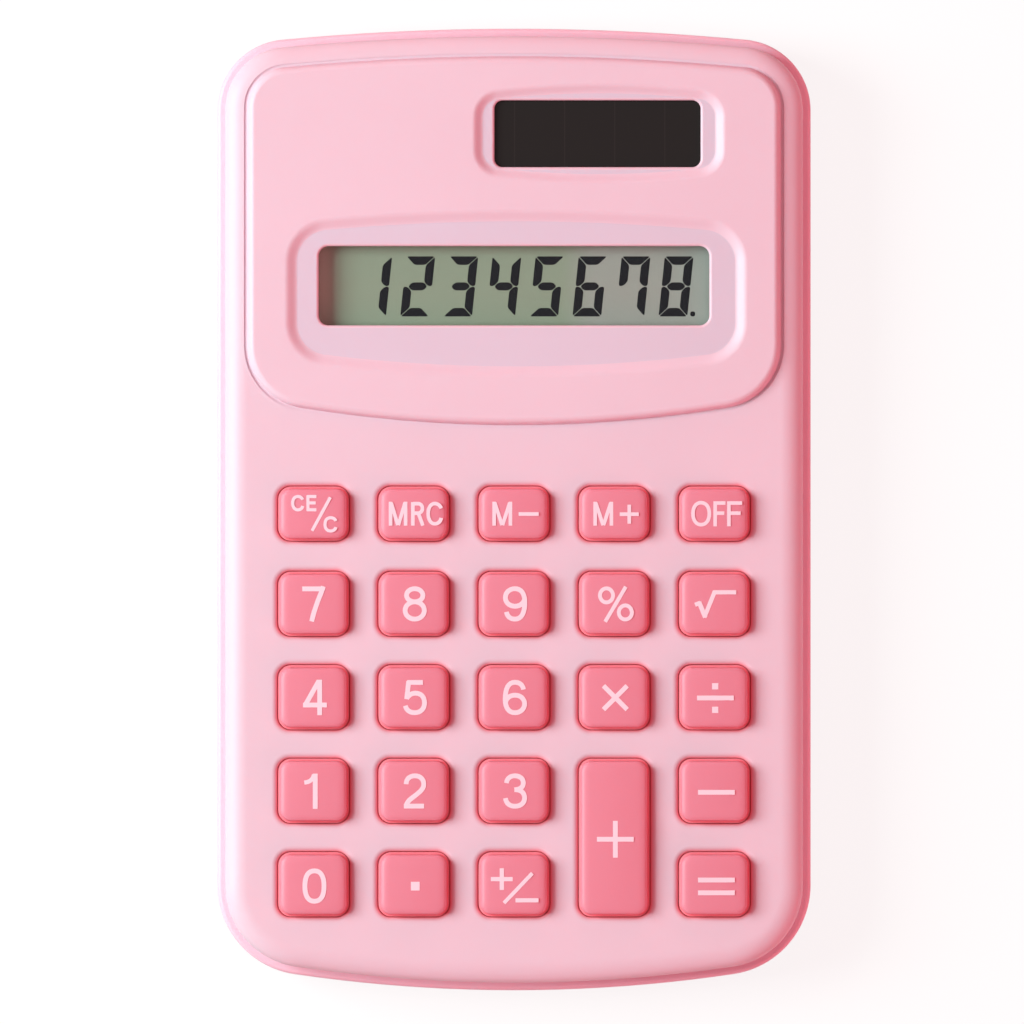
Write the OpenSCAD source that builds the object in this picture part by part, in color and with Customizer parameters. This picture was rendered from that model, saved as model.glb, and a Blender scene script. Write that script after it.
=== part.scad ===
// Eight-digit pocket calculator: two moulded case shells, a raised display panel with a solar
// cell, 24 spring-back keys on a dome mat, a circuit board and a button cell behind a turn door.
// Millimetres. The origin is on the plane that the feet rest on, under the middle of the case.
// +X is to the right of the keypad, +Y towards the display, +Z up out of the keys.

/* [Case] */
// Width of the lower case
body_w = 71.2; // [68:0.2:80]
// Length of the lower case along its middle
body_l = 115.4; // [104:0.2:126]
// Radius of the bowed top end
top_bow_r = 294; // [150:1:500]
// Radius of the bowed bottom end
bottom_bow_r = 180; // [120:1:500]
// Radius of the two top corners
top_corner_r = 8.5; // [7:0.1:12]
// Radius of the two bottom corners
bottom_corner_r = 10.8; // [8:0.1:13]
// Height of the lower case
lower_h = 5.6; // [5.4:0.1:8]
// Height from the seam to the keypad face
upper_h = 4.8; // [4.6:0.1:7]
// Thickness of the case walls and faces
wall = 1.6; // [1.2:0.1:2]
// Width of the ledge that the lower case shows around the upper case
case_step = 1.0; // [0.5:0.1:1.4]
// Round along the edge of that ledge
ledge_edge_r = 0.5; // [0.2:0.1:0.8]
// Round along the back edge
back_edge_r = 2.5; // [1:0.1:3]
// Width of the soft edge around the keypad face
face_edge_w = 2.6; // [1.6:0.1:4]
// Height of the soft edge around the keypad face
face_edge_h = 1.6; // [1:0.1:3]
// Depth of the upper case's lip inside the lower case
lip_h = 1.2; // [0.6:0.1:1.8]
// Thickness of the lip
lip_t = 0.7; // [0.5:0.05:0.9]
// Gap around the lip
lip_gap = 0.1; // [0.05:0.05:0.2]

/* [Display panel] */
// Distance from the sides of the lower case to the panel
panel_inset = 3.3; // [3:0.1:6]
// Distance from the top end of the lower case to the panel
panel_end_inset = 2.8; // [2.5:0.1:6]
// Length of the panel along its middle
panel_l = 44.6; // [43:0.1:46]
// Height of the panel above the keypad face
panel_h = 1.0; // [0.6:0.1:1.6]
// Radius of the bowed lower edge of the panel
panel_bow_r = 158; // [120:1:400]
// Radius of the panel's lower corners
panel_corner_r = 7.6; // [5:0.1:9]
// Round along the panel's top edge
panel_edge_r = 0.9; // [0.3:0.1:0.9]

/* [Display] */
// Distance from the top end of the case to the middle of the display window
display_edge = 30.9; // [30.6:0.1:32]
// Width of the display window
window_w = 46.8; // [40:0.1:48]
// Height of the display window
window_l = 9.5; // [8:0.1:11]
// Corner radius of the display window
window_r = 1.2; // [0.5:0.1:2]
// Width of the dish around the display window
dish_w = 55.6; // [54:0.1:57]
// Distance from the middle of the window to the dish's upper edge
dish_up = 8.4; // [7.6:0.1:9]
// Distance from the middle of the window to the dish's lower edge
dish_down = 10.7; // [8.5:0.1:12]
// Radius of the dish's bowed upper edge
dish_top_bow_r = 254; // [150:1:400]
// Radius of the dish's bowed lower edge
dish_bottom_bow_r = 190; // [120:1:400]
// Radius of the dish's corners
dish_corner_r = 5.3; // [4:0.1:7]
// Depth of the dish
dish_d = 0.7; // [0.4:0.1:1]
// Width of the dish's sloping wall
dish_slope = 1.3; // [0.6:0.1:2]
// Width of the clear lens
lens_w = 52.0; // [51:0.1:54]
// Height of the clear lens
lens_l = 16.5; // [15.5:0.1:17.5]
// Thickness of the clear lens
lens_t = 0.8; // [0.5:0.1:1]
// Thickness of each of the two display glasses
glass_t = 0.7; // [0.5:0.05:0.8]
// Thickness of the polariser and of the reflector
film_t = 0.15; // [0.1:0.05:0.25]
// Depth of the front glass's contact ledge
ledge_l = 2.1; // [1.9:0.1:3]

/* [Solar cell] */
// Distance from the top end of the case to the middle of the cell
solar_edge = 12.7; // [12.3:0.1:13]
// Distance from the right side of the case to the middle of the cell
solar_side = 25.6; // [24.6:0.1:27]
// Width of the solar window
solar_w = 24.7; // [20:0.1:25]
// Height of the solar window
solar_l = 8.0; // [6:0.1:8.4]
// Margin from the solar window to the rim of its dish
solar_margin = 1.5; // [1.2:0.1:2]
// Overlap of the cell behind the window's edge
solar_lap = 0.9; // [0.5:0.1:1.1]
// Thickness of the cell
solar_t = 1.1; // [0.8:0.1:1.6]
// Thickness of the lip over the cell
solar_lip = 0.5; // [0.4:0.1:0.7]

/* [Keys] */
// Distance between key columns
key_pitch_x = 12.0; // [11.8:0.1:12.6]
// Gap between the keys of two rows
row_gap = 3.6; // [3.2:0.1:4.2]
// Gap between the keys of the top row and those below
top_row_gap = 3.8; // [3.4:0.1:4.6]
// Distance from the bottom end of the case to the middle of the lowest row
keypad_edge = 12.8; // [12.6:0.1:14]
// Distance from the keys of the top row to the panel
keypad_gap = 7.6; // [6.5:0.1:9]
// Width of a key
key_w = 8.4; // [8:0.1:8.8]
// Length of a key in the top row
top_key_l = 6.4; // [6:0.1:7]
// Corner radius of a key
key_corner_r = 1.3; // [0.8:0.1:2]
// Gap between a key and its opening
key_gap = 0.4; // [0.2:0.05:0.5]
// Height of the keys above the keypad face
key_proud = 1.6; // [1.4:0.1:2.2]
// Travel of a key
key_travel = 1.0; // [0.6:0.1:1.2]
// Width of the flange that keeps a key in the case
flange_w = 0.9; // [0.8:0.05:1]
// Thickness of that flange
flange_t = 0.8; // [0.6:0.1:0.9]
// Thickness of a key's walls and roof
key_wall = 1.2; // [0.9:0.1:1.4]

/* [Inside] */
// Thickness of the circuit board
board_t = 1.2; // [0.8:0.1:1.4]
// Thickness of the dome mat's sheet
mat_t = 0.5; // [0.3:0.1:0.6]
// Height of a dome above the sheet
dome_h = 1.7; // [1.4:0.1:2]
// Diameter of the button cell
cell_d = 11.6; // [10.6:0.1:11.8]
// Thickness of the button cell
cell_t = 3.05; // [2.6:0.05:3.2]
// Distance from the left side of the case to the middle of the button cell
cell_side = 18.6; // [16:0.1:20]
// Thickness of the sheet-metal contacts
leaf_t = 0.25; // [0.2:0.05:0.35]
// Diameter of the insulated wires
wire_d = 0.8; // [0.6:0.1:1]

/* [Fasteners and feet] */
// Distance from the edge of the case to the case screws
screw_edge = 4.6; // [4.5:0.1:5]
// Distance of the side screws above the keypad
side_screw_gap = 2.5; // [2.4:0.1:4]
// Thread diameter of the case screws
case_screw_d = 2.0; // [1.8:0.1:2.2]
// Thread diameter of the board screws
board_screw_d = 1.8; // [1.6:0.1:2]
// Height of the feet below the back
foot_h = 0.6; // [0.4:0.1:1.2]
// Diameter of the feet
foot_d = 7.6; // [6:0.1:9]
// Distance from the sides of the case to the middle of the feet
foot_side = 8.0; // [7.5:0.1:10]
// Distance from the ends of the case to the middle of the feet
foot_edge = 22; // [18:0.5:30]

/* [Hidden] */
$fn = 40;
through = 0.5;
corner_steps = 6;
bow_steps = 4;
round_steps = 5;
small_corner_steps = 4;
least_corner_r = 0.5;

// Heights
back_z = foot_h;
floor_z = back_z + wall;
seam_z = back_z + lower_h;
face_z = seam_z + upper_h;
ceiling_z = face_z - wall;
panel_z = face_z + panel_h;
dish_z = panel_z - dish_d;
panel_wall = 1.4;
pocket_z = dish_z - panel_wall;
lens_z = pocket_z - lens_t;
polariser_z = lens_z - film_t;
front_glass_z = polariser_z - glass_t;
rear_glass_z = front_glass_z - glass_t;
reflector_z = rear_glass_z - film_t;
flange_slack = 0.05;
flange_z = ceiling_z - flange_slack - flange_t;
plunger_reach = 0.2;
plunger_z = flange_z - plunger_reach;
dome_slack = 0.05;
board_top_z = plunger_z - dome_slack - dome_h - mat_t;
board_z = board_top_z - board_t;
key_top_z = face_z + key_proud;
pilot_rest = 0.5;
pilot_end_z = ceiling_z - pilot_rest;

// Places on the case
top_y = body_l / 2;
bottom_y = -body_l / 2;
panel_top_y = top_y - panel_end_inset;
panel_bottom_y = panel_top_y - panel_l;
display_y = top_y - display_edge;
solar_y = top_y - solar_edge;
solar_x = body_w / 2 - solar_side;
lower_wall = case_step + wall - lip_t - lip_gap;
lip_inset = case_step + wall;

// Keys: name, column from the middle, lowest row, rows spanned. Row 0 is the bottom one.
KEYS = [
    ["key_ce_c", -2, 4, 1], ["key_mrc", -1, 4, 1], ["key_m_minus", 0, 4, 1],
    ["key_m_plus", 1, 4, 1], ["key_off", 2, 4, 1],
    ["key_7", -2, 3, 1], ["key_8", -1, 3, 1], ["key_9", 0, 3, 1],
    ["key_percent", 1, 3, 1], ["key_root", 2, 3, 1],
    ["key_4", -2, 2, 1], ["key_5", -1, 2, 1], ["key_6", 0, 2, 1],
    ["key_multiply", 1, 2, 1], ["key_divide", 2, 2, 1],
    ["key_1", -2, 1, 1], ["key_2", -1, 1, 1], ["key_3", 0, 1, 1],
    ["key_plus", 1, 0, 2], ["key_minus", 2, 1, 1],
    ["key_0", -2, 0, 1], ["key_point", -1, 0, 1], ["key_sign", 0, 0, 1],
    ["key_equals", 2, 0, 1],
];
top_row = max([for (k = KEYS) k[2]]);
rows_below = top_row - 1;

// The rows share the room between the bottom end and the panel
top_row_y = panel_bottom_y - keypad_gap - top_key_l / 2;
lowest_row_y = bottom_y + keypad_edge;
key_l = (top_row_y - lowest_row_y - rows_below * row_gap - top_row_gap - top_key_l / 2)
    / (rows_below + 1 / 2);
key_pitch_y = key_l + row_gap;
function row_y(row) = row == top_row ? top_row_y : lowest_row_y + row * key_pitch_y;
function key_x(k) = k[1] * key_pitch_x;
function key_y(k) = (row_y(k[2]) + row_y(k[2] + k[3] - 1)) / 2;
function key_len(k) = k[2] == top_row ? top_key_l : key_l + (k[3] - 1) * key_pitch_y;
keypad_top_y = top_row_y + top_key_l / 2 + flange_w;
keypad_bottom_y = lowest_row_y - key_l / 2 - flange_w;
plunger_r = 1.7;
key_draft = 0.1;
key_round_w = 0.6;
key_round_h = 0.35;
key_round_steps = 3;

// Frame of ribs that holds the lens and the display glass under the panel
frame_gap = 0.1;
rib_t = 1.0;
frame_in_w = lens_w + 2 * frame_gap;
frame_in_l = lens_l + 2 * frame_gap;
frame_w = frame_in_w + 2 * rib_t;
frame_l = frame_in_l + 2 * rib_t;
glass_w = lens_w - 1;
glass_l = lens_l - 0.9;
glass_bottom_y = display_y - glass_l / 2;
glass_top_y = display_y + glass_l / 2;

// Solar cell and its dish
solar_dish_side = 0.8;
solar_bow_r = 110;
solar_corner_r = 3.2;
solar_window_r = 1.0;
solar_dish_slope = 0.9;
solar_top_z = dish_z - solar_lip;
solar_cell_w = solar_w + 2 * solar_lap;
solar_cell_l = solar_l + 2 * solar_lap;

// Feet
foot_seat_d = 0.4;
foot_gap = 0.1;
foot_edge_r = 0.3;
feet_at = [for (sx = [-1, 1], sy = [-1, 1])
    [sx * (body_w / 2 - foot_side), sy * (body_l / 2 - foot_edge)]];

// Screws and bosses
case_boss_r = case_screw_d / 2 + 1.4;
case_pilot_r = case_screw_d / 2 - 0.15;
case_hole_r = case_screw_d / 2 + 0.2;
case_head_r = case_screw_d / 2 + 0.9;
case_head_h = 1.2;
head_gap = 0.2;
case_seat_z = back_z + 2.4;
boss_step_z = case_seat_z + 1.2;
boss_meet_z = seam_z - lip_h - lip_gap;
board_boss_r = board_screw_d / 2 + 0.8;
board_pilot_r = board_screw_d / 2 - 0.15;
board_hole_r = board_screw_d / 2 + 0.2;
board_head_r = board_screw_d / 2 + 0.7;
board_head_h = 1.0;
top_corner_x = body_w / 2 - top_corner_r;
top_corner_y = top_y - top_bow_r + sqrt(pow(top_bow_r - top_corner_r, 2) - pow(top_corner_x, 2));
corner_screw = (top_corner_r - screw_edge) * cos(45);
between_columns = 1.5 * key_pitch_x;
bottom_edge_y = bottom_y + bottom_bow_r - sqrt(pow(bottom_bow_r, 2) - pow(between_columns, 2));
case_screws_at = [for (side = [-1, 1]) each [
    [side * (top_corner_x + corner_screw), top_corner_y + corner_screw],
    [side * (body_w / 2 - screw_edge), keypad_top_y + side_screw_gap],
    [side * between_columns, bottom_edge_y + screw_edge],
]];
upper_board_screw_y = (keypad_top_y + display_y - frame_l / 2) / 2;
top_gap_y = top_row_y - (top_key_l + top_row_gap) / 2;
middle_gap_y = (row_y(1) + row_y(2)) / 2;
tab_screw_drop = 2.2;
board_tab_screw = [11, keypad_bottom_y - tab_screw_drop];
upper_board_screw_x = 20;
board_screws_at = [for (side = [-1, 1]) each [
    [side * upper_board_screw_x, upper_board_screw_y],
    [side * between_columns, top_gap_y],
    [side * between_columns, middle_gap_y],
    [side * board_tab_screw[0], board_tab_screw[1]],
]];

// Circuit board
board_gap = 0.6;
board_w = body_w - 2 * (screw_edge + case_boss_r + board_gap);
board_margin = 0.85;
tab_margin = 1.3;
board_top_y = display_y + frame_l / 2 + board_margin;
board_bottom_y = keypad_bottom_y + frame_gap;
board_tab_w = 2 * (board_tab_screw[0] + board_boss_r + tab_margin);
board_tab_y = board_tab_screw[1] - board_boss_r;
mat_margin = 0.4;
dome_base_r = 3.3;
dome_top_r = 2.4;
dome_wall = 0.5;

// Battery, its cup in the lower case and the turn door
cell_gap = 0.2;
cup_in_r = cell_d / 2 + cell_gap;
cup_out_r = cup_in_r + 1.0;
door_r = cell_d / 2 + 1.2;
door_gap = 0.15;
lug_reach = 1.2;
lug_w = 5;
lug_t = 0.8;
lug_slack = 0.05;
chamber_r = door_r + lug_reach + 0.25;
chamber_h = lug_t + 0.25;
lug_z = floor_z + lug_slack;
cell_z = lug_z + lug_t + 0.1;
cup_top_z = cell_z + cell_t + 0.2;
battery_y = board_top_y + board_gap + cup_out_r;
battery_x = cell_side - body_w / 2;
door_turn = 45;
leaf_w = 3.0;
leaf_touch = 0.02;
leaf_slot_gap = 0.1;
tab_reach = 1.8;

// Wires: points between a solder joint and the board, as distance beyond the board's upper
// edge and height above its back
wire_tail = [[1.2, 0.6], [0.6, -0.7], [-0.8, -1.3], [-2.4, -1.2], [-3.3, -0.6], [-3.3, 0]];
wire_rise = 0.9;
wire_over = 2.5;
solar_joint = [4, -3.5];

// ---- Outlines ----

// Points along an arc, from one angle to another
function arc(x, y, r, from, to, steps) = [
    for (i = [0:steps]) let (a = from + (to - from) * i / steps) [x + r * cos(a), y + r * sin(a)]
];

// Upper half of a bowed outline, from its right side over the bowed end to its left side
function bowed_end(half_w, end_y, bow_r, corner_r) =
    let (
        x = half_w - corner_r,
        bow_y = end_y - bow_r,
        y = bow_y + sqrt(pow(bow_r - corner_r, 2) - x * x),
        a = atan2(y - bow_y, x),
        right = arc(x, y, corner_r, 0, a, corner_steps),
        bow = [for (i = [1:2 * bow_steps - 1]) let (b = a + (90 - a) * i / bow_steps)
            [bow_r * cos(b), bow_y + bow_r * sin(b)]],
        left = [for (i = [corner_steps:-1:0]) [-right[i][0], right[i][1]]]
    )
    concat(right, bow, left);

// Closed outline with straight sides and bowed ends, moved inwards by inset
function bowed(w, high_y, low_y, high_bow_r, low_bow_r, high_r, low_r, inset) = concat(
    bowed_end(w / 2 - inset, high_y - inset, high_bow_r - inset,
        max(high_r - inset, least_corner_r)),
    [for (p = bowed_end(w / 2 - inset, -low_y - inset, low_bow_r - inset,
        max(low_r - inset, least_corner_r))) -p]
);

// The outlines that the shells share, each as a function of how far in it lies
case_line = function (inset) bowed(body_w, top_y, bottom_y, top_bow_r, bottom_bow_r,
    top_corner_r, bottom_corner_r, inset);
panel_line = function (inset) bowed(body_w - 2 * panel_inset, panel_top_y, panel_bottom_y,
    top_bow_r - panel_end_inset, panel_bow_r, top_corner_r - panel_inset, panel_corner_r, inset);
dish_line = function (inset) bowed(dish_w, display_y + dish_up, display_y - dish_down,
    dish_top_bow_r, dish_bottom_bow_r, dish_corner_r, dish_corner_r, inset);
solar_dish_line = function (inset) [
    for (p = bowed(solar_w + 2 * (solar_margin + solar_dish_side), solar_l / 2 + solar_margin,
        -solar_l / 2 - solar_margin, solar_bow_r, solar_bow_r, solar_corner_r,
        solar_corner_r, inset)) p + [solar_x, solar_y]
];

// Rectangle with round corners, centred
function rounded(w, l, r, steps = small_corner_steps) = concat(
    arc(w / 2 - r, l / 2 - r, r, 0, 90, steps),
    arc(r - w / 2, l / 2 - r, r, 90, 180, steps),
    arc(r - w / 2, r - l / 2, r, 180, 270, steps),
    arc(w / 2 - r, r - l / 2, r, 270, 360, steps)
);

module plate(z, h, points) {
    translate([0, 0, z]) linear_extrude(h) polygon(points);
}

// Closed solid through a stack of outlines with as many points each: [height, outline] from the
// bottom up
module loft(stack) {
    sides = len(stack[0][1]);
    last = len(stack) - 1;
    polyhedron(
        [for (ring = stack, p = ring[1]) [p[0], p[1], ring[0]]],
        concat(
            [[for (s = [0:sides - 1]) s], [for (s = [sides - 1:-1:0]) last * sides + s]],
            [for (k = [0:last - 1], s = [0:sides - 1]) let (n = (s + 1) % sides)
                [k * sides + s, (k + 1) * sides + s, (k + 1) * sides + n, k * sides + n]]
        )
    );
}

// Rings of an elliptic round at the top of a stack, from its side to its flat top
function round_over(line, high_z, inset, round_w, round_h) = [
    for (i = [0:round_steps]) let (a = 90 * i / round_steps)
        [high_z - round_h * (1 - sin(a)), line(inset + round_w * (1 - cos(a)))]
];

// Block with straight sides up to an elliptic round along its top edge
module soft_block(line, low_z, high_z, inset, round_w, round_h) {
    loft(concat([[low_z, line(inset)]], round_over(line, high_z, inset, round_w, round_h)));
}

// Cut with sloping walls that widens upwards
module dish_cut(line, low_z, high_z, slope) {
    loft([[low_z, line(slope)], [high_z, line(0)], [high_z + through, line(0)]]);
}

// ---- Case ----

module upper_case() {
    color("pink") difference() {
        union() {
            difference() {
                upper_shell();
                inner_space();
            }
            lip();
            display_frame();
            solar_frame();
            case_bosses();
            board_bosses();
        }
        dish_cut(dish_line, dish_z, panel_z, dish_slope);
        dish_cut(solar_dish_line, dish_z, panel_z, solar_dish_slope);
        translate([0, display_y, 0])
            plate(pocket_z - through, panel_h + panel_wall + through,
                rounded(window_w, window_l, window_r));
        translate([solar_x, solar_y, 0]) {
            plate(pocket_z - through, panel_h + panel_wall + through,
                rounded(solar_w, solar_l, solar_window_r));
            translate([0, 0, solar_top_z - solar_t / 2 - through / 2])
                cube([solar_cell_w + 2 * frame_gap, solar_cell_l + 2 * frame_gap,
                    solar_t + through], center = true);
        }
        for (k = KEYS)
            translate([key_x(k), key_y(k), 0])
                plate(ceiling_z - through, wall + 2 * through,
                    rounded(key_w + 2 * key_gap, key_len(k) + 2 * key_gap,
                        key_corner_r + key_gap));
    }
}

module upper_shell() {
    soft_block(case_line, seam_z, face_z, case_step, face_edge_w, face_edge_h);
    soft_block(panel_line, face_z - panel_h, panel_z, 0, panel_edge_r, panel_edge_r);
}

// Inside of the upper case: its walls lean in where the face's edge does
module inner_space() {
    lean = wall * 0.6;
    loft([
        [seam_z - through, case_line(lip_inset)],
        [ceiling_z - 2 * lean, case_line(lip_inset)],
        [ceiling_z - 0.5 * lean, case_line(lip_inset + 0.6 * lean)],
        [ceiling_z, case_line(lip_inset + 1.6 * lean)],
    ]);
    plate(ceiling_z - through, pocket_z - ceiling_z + through, panel_line(wall + 0.2));
}

module lip() {
    difference() {
        plate(seam_z - lip_h, lip_h + through, case_line(lower_wall + lip_gap));
        plate(seam_z - lip_h - through, lip_h + 3 * through, case_line(lip_inset));
    }
}

module display_frame() {
    bottom_z = board_top_z + 0.1;
    translate([0, display_y, bottom_z]) difference() {
        translate([-frame_w / 2, -frame_l / 2, 0])
            cube([frame_w, frame_l, pocket_z - bottom_z + through]);
        translate([-frame_in_w / 2, -frame_in_l / 2, -through])
            cube([frame_in_w, frame_in_l, pocket_z - bottom_z + through]);
    }
}

module solar_frame() {
    reach = 0.7;
    in_w = solar_cell_w + 2 * frame_gap;
    in_l = solar_cell_l + 2 * frame_gap;
    translate([solar_x, solar_y, pocket_z - reach]) difference() {
        translate([-in_w / 2 - rib_t, -in_l / 2 - rib_t, 0])
            cube([in_w + 2 * rib_t, in_l + 2 * rib_t, reach + through / 2]);
        translate([-in_w / 2, -in_l / 2, -through])
            cube([in_w, in_l, reach + 2 * through]);
    }
}

// Blind bosses that the case screws bite into; they meet those of the lower case below the lip
module case_bosses() {
    for (at = case_screws_at)
        translate([at[0], at[1], boss_meet_z]) difference() {
            cylinder(h = ceiling_z - boss_meet_z + wall / 4, r = case_boss_r);
            translate([0, 0, -through])
                cylinder(h = pilot_end_z - boss_meet_z + through, r = case_pilot_r);
        }
}

// Blind bosses that the circuit board is screwed to
module board_bosses() {
    for (at = board_screws_at)
        translate([at[0], at[1], board_top_z]) difference() {
            cylinder(h = ceiling_z - board_top_z + wall / 4, r = board_boss_r);
            translate([0, 0, -through])
                cylinder(h = pilot_end_z - board_top_z + through, r = board_pilot_r);
        }
}

module lower_case() {
    color("lightpink") difference() {
        union() {
            difference() {
                lower_shell();
                plate(floor_z, lower_h, case_line(lower_wall));
            }
            for (at = case_screws_at)
                translate([at[0], at[1], back_z + wall / 2]) {
                    cylinder(h = boss_step_z - back_z - wall / 2,
                        r = case_head_r + head_gap + 1.0);
                    cylinder(h = boss_meet_z - back_z - wall / 2, r = case_boss_r);
                }
            battery_cup();
            support_ribs();
        }
        for (at = case_screws_at)
            translate([at[0], at[1], 0]) {
                cylinder(h = seam_z + through, r = case_hole_r);
                cylinder(h = case_seat_z, r = case_head_r + head_gap);
            }
        for (at = feet_at)
            translate([at[0], at[1], 0])
                cylinder(h = back_z + foot_seat_d, r = foot_d / 2 + foot_gap);
        door_opening();
    }
}

// Block with a round along the back edge and a small one along the ledge
module lower_shell() {
    loft(concat(
        [for (i = [0:round_steps]) let (a = 90 * i / round_steps)
            [back_z + back_edge_r * (1 - cos(a)), case_line(back_edge_r * (1 - sin(a)))]],
        round_over(case_line, seam_z, 0, ledge_edge_r, ledge_edge_r)
    ));
}

// Low ribs under the circuit board that take the push of the keys
module support_ribs() {
    rib_z = board_z - 0.1;
    for (side = [-1, 1])
        translate([side * key_pitch_x / 2 - rib_t / 2, lowest_row_y, back_z + wall / 2])
            cube([rib_t, top_row_y - lowest_row_y, rib_z - back_z - wall / 2]);
}

// Ring that holds the button cell, above the chamber that the door's lugs turn in
module battery_cup() {
    translate([battery_x, battery_y, 0]) difference() {
        union() {
            translate([0, 0, back_z + wall / 2])
                cylinder(h = floor_z + chamber_h + 1.0 - back_z - wall / 2, r = chamber_r + 1.0);
            translate([0, 0, back_z + wall / 2])
                cylinder(h = cup_top_z - back_z - wall / 2, r = cup_out_r);
        }
        translate([0, 0, floor_z]) cylinder(h = chamber_h, r = chamber_r);
        translate([0, 0, floor_z]) cylinder(h = lower_h * 2, r = cup_in_r);
        translate([-cup_in_r - leaf_t - leaf_slot_gap, -leaf_w / 2 - leaf_slot_gap,
            floor_z + chamber_h / 2])
            cube([cup_in_r, leaf_w + 2 * leaf_slot_gap, lower_h * 2]);
    }
}

// Round hole in the back, with two notches that let the door's lugs in when it is turned
module door_opening() {
    translate([battery_x, battery_y, 0]) {
        cylinder(h = floor_z + chamber_h / 2, r = door_r + door_gap);
        rotate(-door_turn) intersection() {
            cylinder(h = floor_z + chamber_h / 2, r = door_r + lug_reach + door_gap);
            translate([0, 0, floor_z / 2])
                cube([4 * door_r, lug_w + 2 * door_gap, floor_z + chamber_h / 2], center = true);
        }
    }
}

// Coin-slot door: a disc flush with the back, and a bar whose ends are the bayonet lugs
module battery_door() {
    slot_l = 9;
    slot_w = 1.3;
    slot_d = 0.9;
    color("lightpink") translate([battery_x, battery_y, 0]) difference() {
        union() {
            translate([0, 0, back_z]) cylinder(h = wall, r = door_r);
            intersection() {
                translate([0, 0, floor_z - wall / 4])
                    cylinder(h = lug_t + lug_slack + wall / 4, r = door_r);
                translate([-door_r, -lug_w / 2, floor_z - wall / 4])
                    cube([2 * door_r, lug_w, lug_t + lug_slack + wall / 4]);
            }
            translate([0, 0, lug_z]) intersection() {
                cylinder(h = lug_t, r = door_r + lug_reach);
                translate([-2 * door_r, -lug_w / 2, 0]) cube([4 * door_r, lug_w, lug_t]);
            }
        }
        translate([-slot_l / 2, -slot_w / 2, back_z - through])
            cube([slot_l, slot_w, slot_d + through]);
    }
}

module rubber_feet() {
    color("dimgray") for (at = feet_at)
        translate([at[0], at[1], 0]) {
            rotate_extrude() polygon([
                [0, 0], [foot_d / 2 - foot_edge_r, 0], [foot_d / 2, foot_edge_r],
                [foot_d / 2, back_z + foot_seat_d], [0, back_z + foot_seat_d]
            ]);
        }
}

// ---- Display ----

module film_or_glass(z, t, low_y, high_y, w) {
    translate([-w / 2, low_y, z]) cube([w, high_y - low_y, t]);
}

module display_lens() {
    color("white", 0.4)
        film_or_glass(lens_z, lens_t, display_y - lens_l / 2, display_y + lens_l / 2, lens_w);
}

module lcd_polariser() {
    color("darkseagreen", 0.6) film_or_glass(polariser_z, film_t,
        glass_bottom_y + ledge_l, glass_top_y - 0.5, glass_w - 1);
}

module lcd_front_glass() {
    color("lightcyan", 0.5)
        film_or_glass(front_glass_z, glass_t, glass_bottom_y, glass_top_y, glass_w);
}

module lcd_rear_glass() {
    color("lightcyan", 0.5)
        film_or_glass(rear_glass_z, glass_t, glass_bottom_y + ledge_l, glass_top_y, glass_w);
}

module lcd_reflector() {
    color("darkseagreen") film_or_glass(reflector_z, film_t,
        glass_bottom_y + ledge_l, glass_top_y - 0.5, glass_w - 1);
}

// Foam that presses the upper edge of the display glass against the lens
module lcd_foam_strip() {
    color("gray") film_or_glass(board_top_z, reflector_z - board_top_z,
        glass_top_y - 3, glass_top_y - 1, glass_w - 4);
}

// Striped rubber connector between the circuit board and the front glass's ledge
module zebra_strip() {
    color("dimgray") film_or_glass(board_top_z, front_glass_z - board_top_z,
        glass_bottom_y + 0.2, glass_bottom_y + ledge_l - 0.3, glass_w - 4);
}

module solar_cell() {
    color("#2f292b") translate([solar_x - solar_cell_w / 2, solar_y - solar_cell_l / 2,
        solar_top_z - solar_t]) cube([solar_cell_w, solar_cell_l, solar_t]);
}

// ---- Circuit board and what is on it ----

module circuit_board() {
    half_w = board_w / 2;
    half_tab = board_tab_w / 2;
    color("darkgreen") difference() {
        plate(board_z, board_t, [
            [half_w, board_bottom_y], [half_w, board_top_y], [-half_w, board_top_y],
            [-half_w, board_bottom_y], [-half_tab, board_bottom_y], [-half_tab, board_tab_y],
            [half_tab, board_tab_y], [half_tab, board_bottom_y]
        ]);
        for (at = board_screws_at)
            translate([at[0], at[1], board_z - through])
                cylinder(h = board_t + 2 * through, r = board_hole_r);
    }
}

// Two printed carbon half-moons under each dome
module key_contacts() {
    pad_r = 1.9;
    pad_t = 0.1;
    pad_gap = 0.3;
    color("#222222") for (k = KEYS, side = [0, 180])
        translate([key_x(k), key_y(k), board_top_z]) rotate(side)
            linear_extrude(pad_t)
                polygon([for (p = arc(0, 0, pad_r, 0, 180, 8)) p + [0, pad_gap / 2]]);
}

// Silicone sheet with a hollow dome under each key, cut away round the board screws
module dome_mat() {
    mat_w = 4 * key_pitch_x + 2 * dome_base_r + 2 * mat_margin;
    high_y = top_row_y + dome_base_r + mat_margin;
    low_y = lowest_row_y - dome_base_r - mat_margin;
    color("whitesmoke") difference() {
        union() {
            translate([-mat_w / 2, low_y, board_top_z]) cube([mat_w, high_y - low_y, mat_t]);
            for (k = KEYS)
                translate([key_x(k), key_y(k), board_top_z + mat_t / 2])
                    cylinder(h = dome_h + mat_t / 2, r1 = dome_base_r, r2 = dome_top_r);
        }
        for (k = KEYS)
            translate([key_x(k), key_y(k), board_top_z - through])
                cylinder(h = mat_t + dome_h - dome_wall + through,
                    r1 = dome_base_r - dome_wall, r2 = dome_top_r - dome_wall);
        for (at = board_screws_at)
            translate([at[0], at[1], board_top_z - through])
                cylinder(h = mat_t + 2 * through, r = board_boss_r + 0.3);
    }
}

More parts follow.
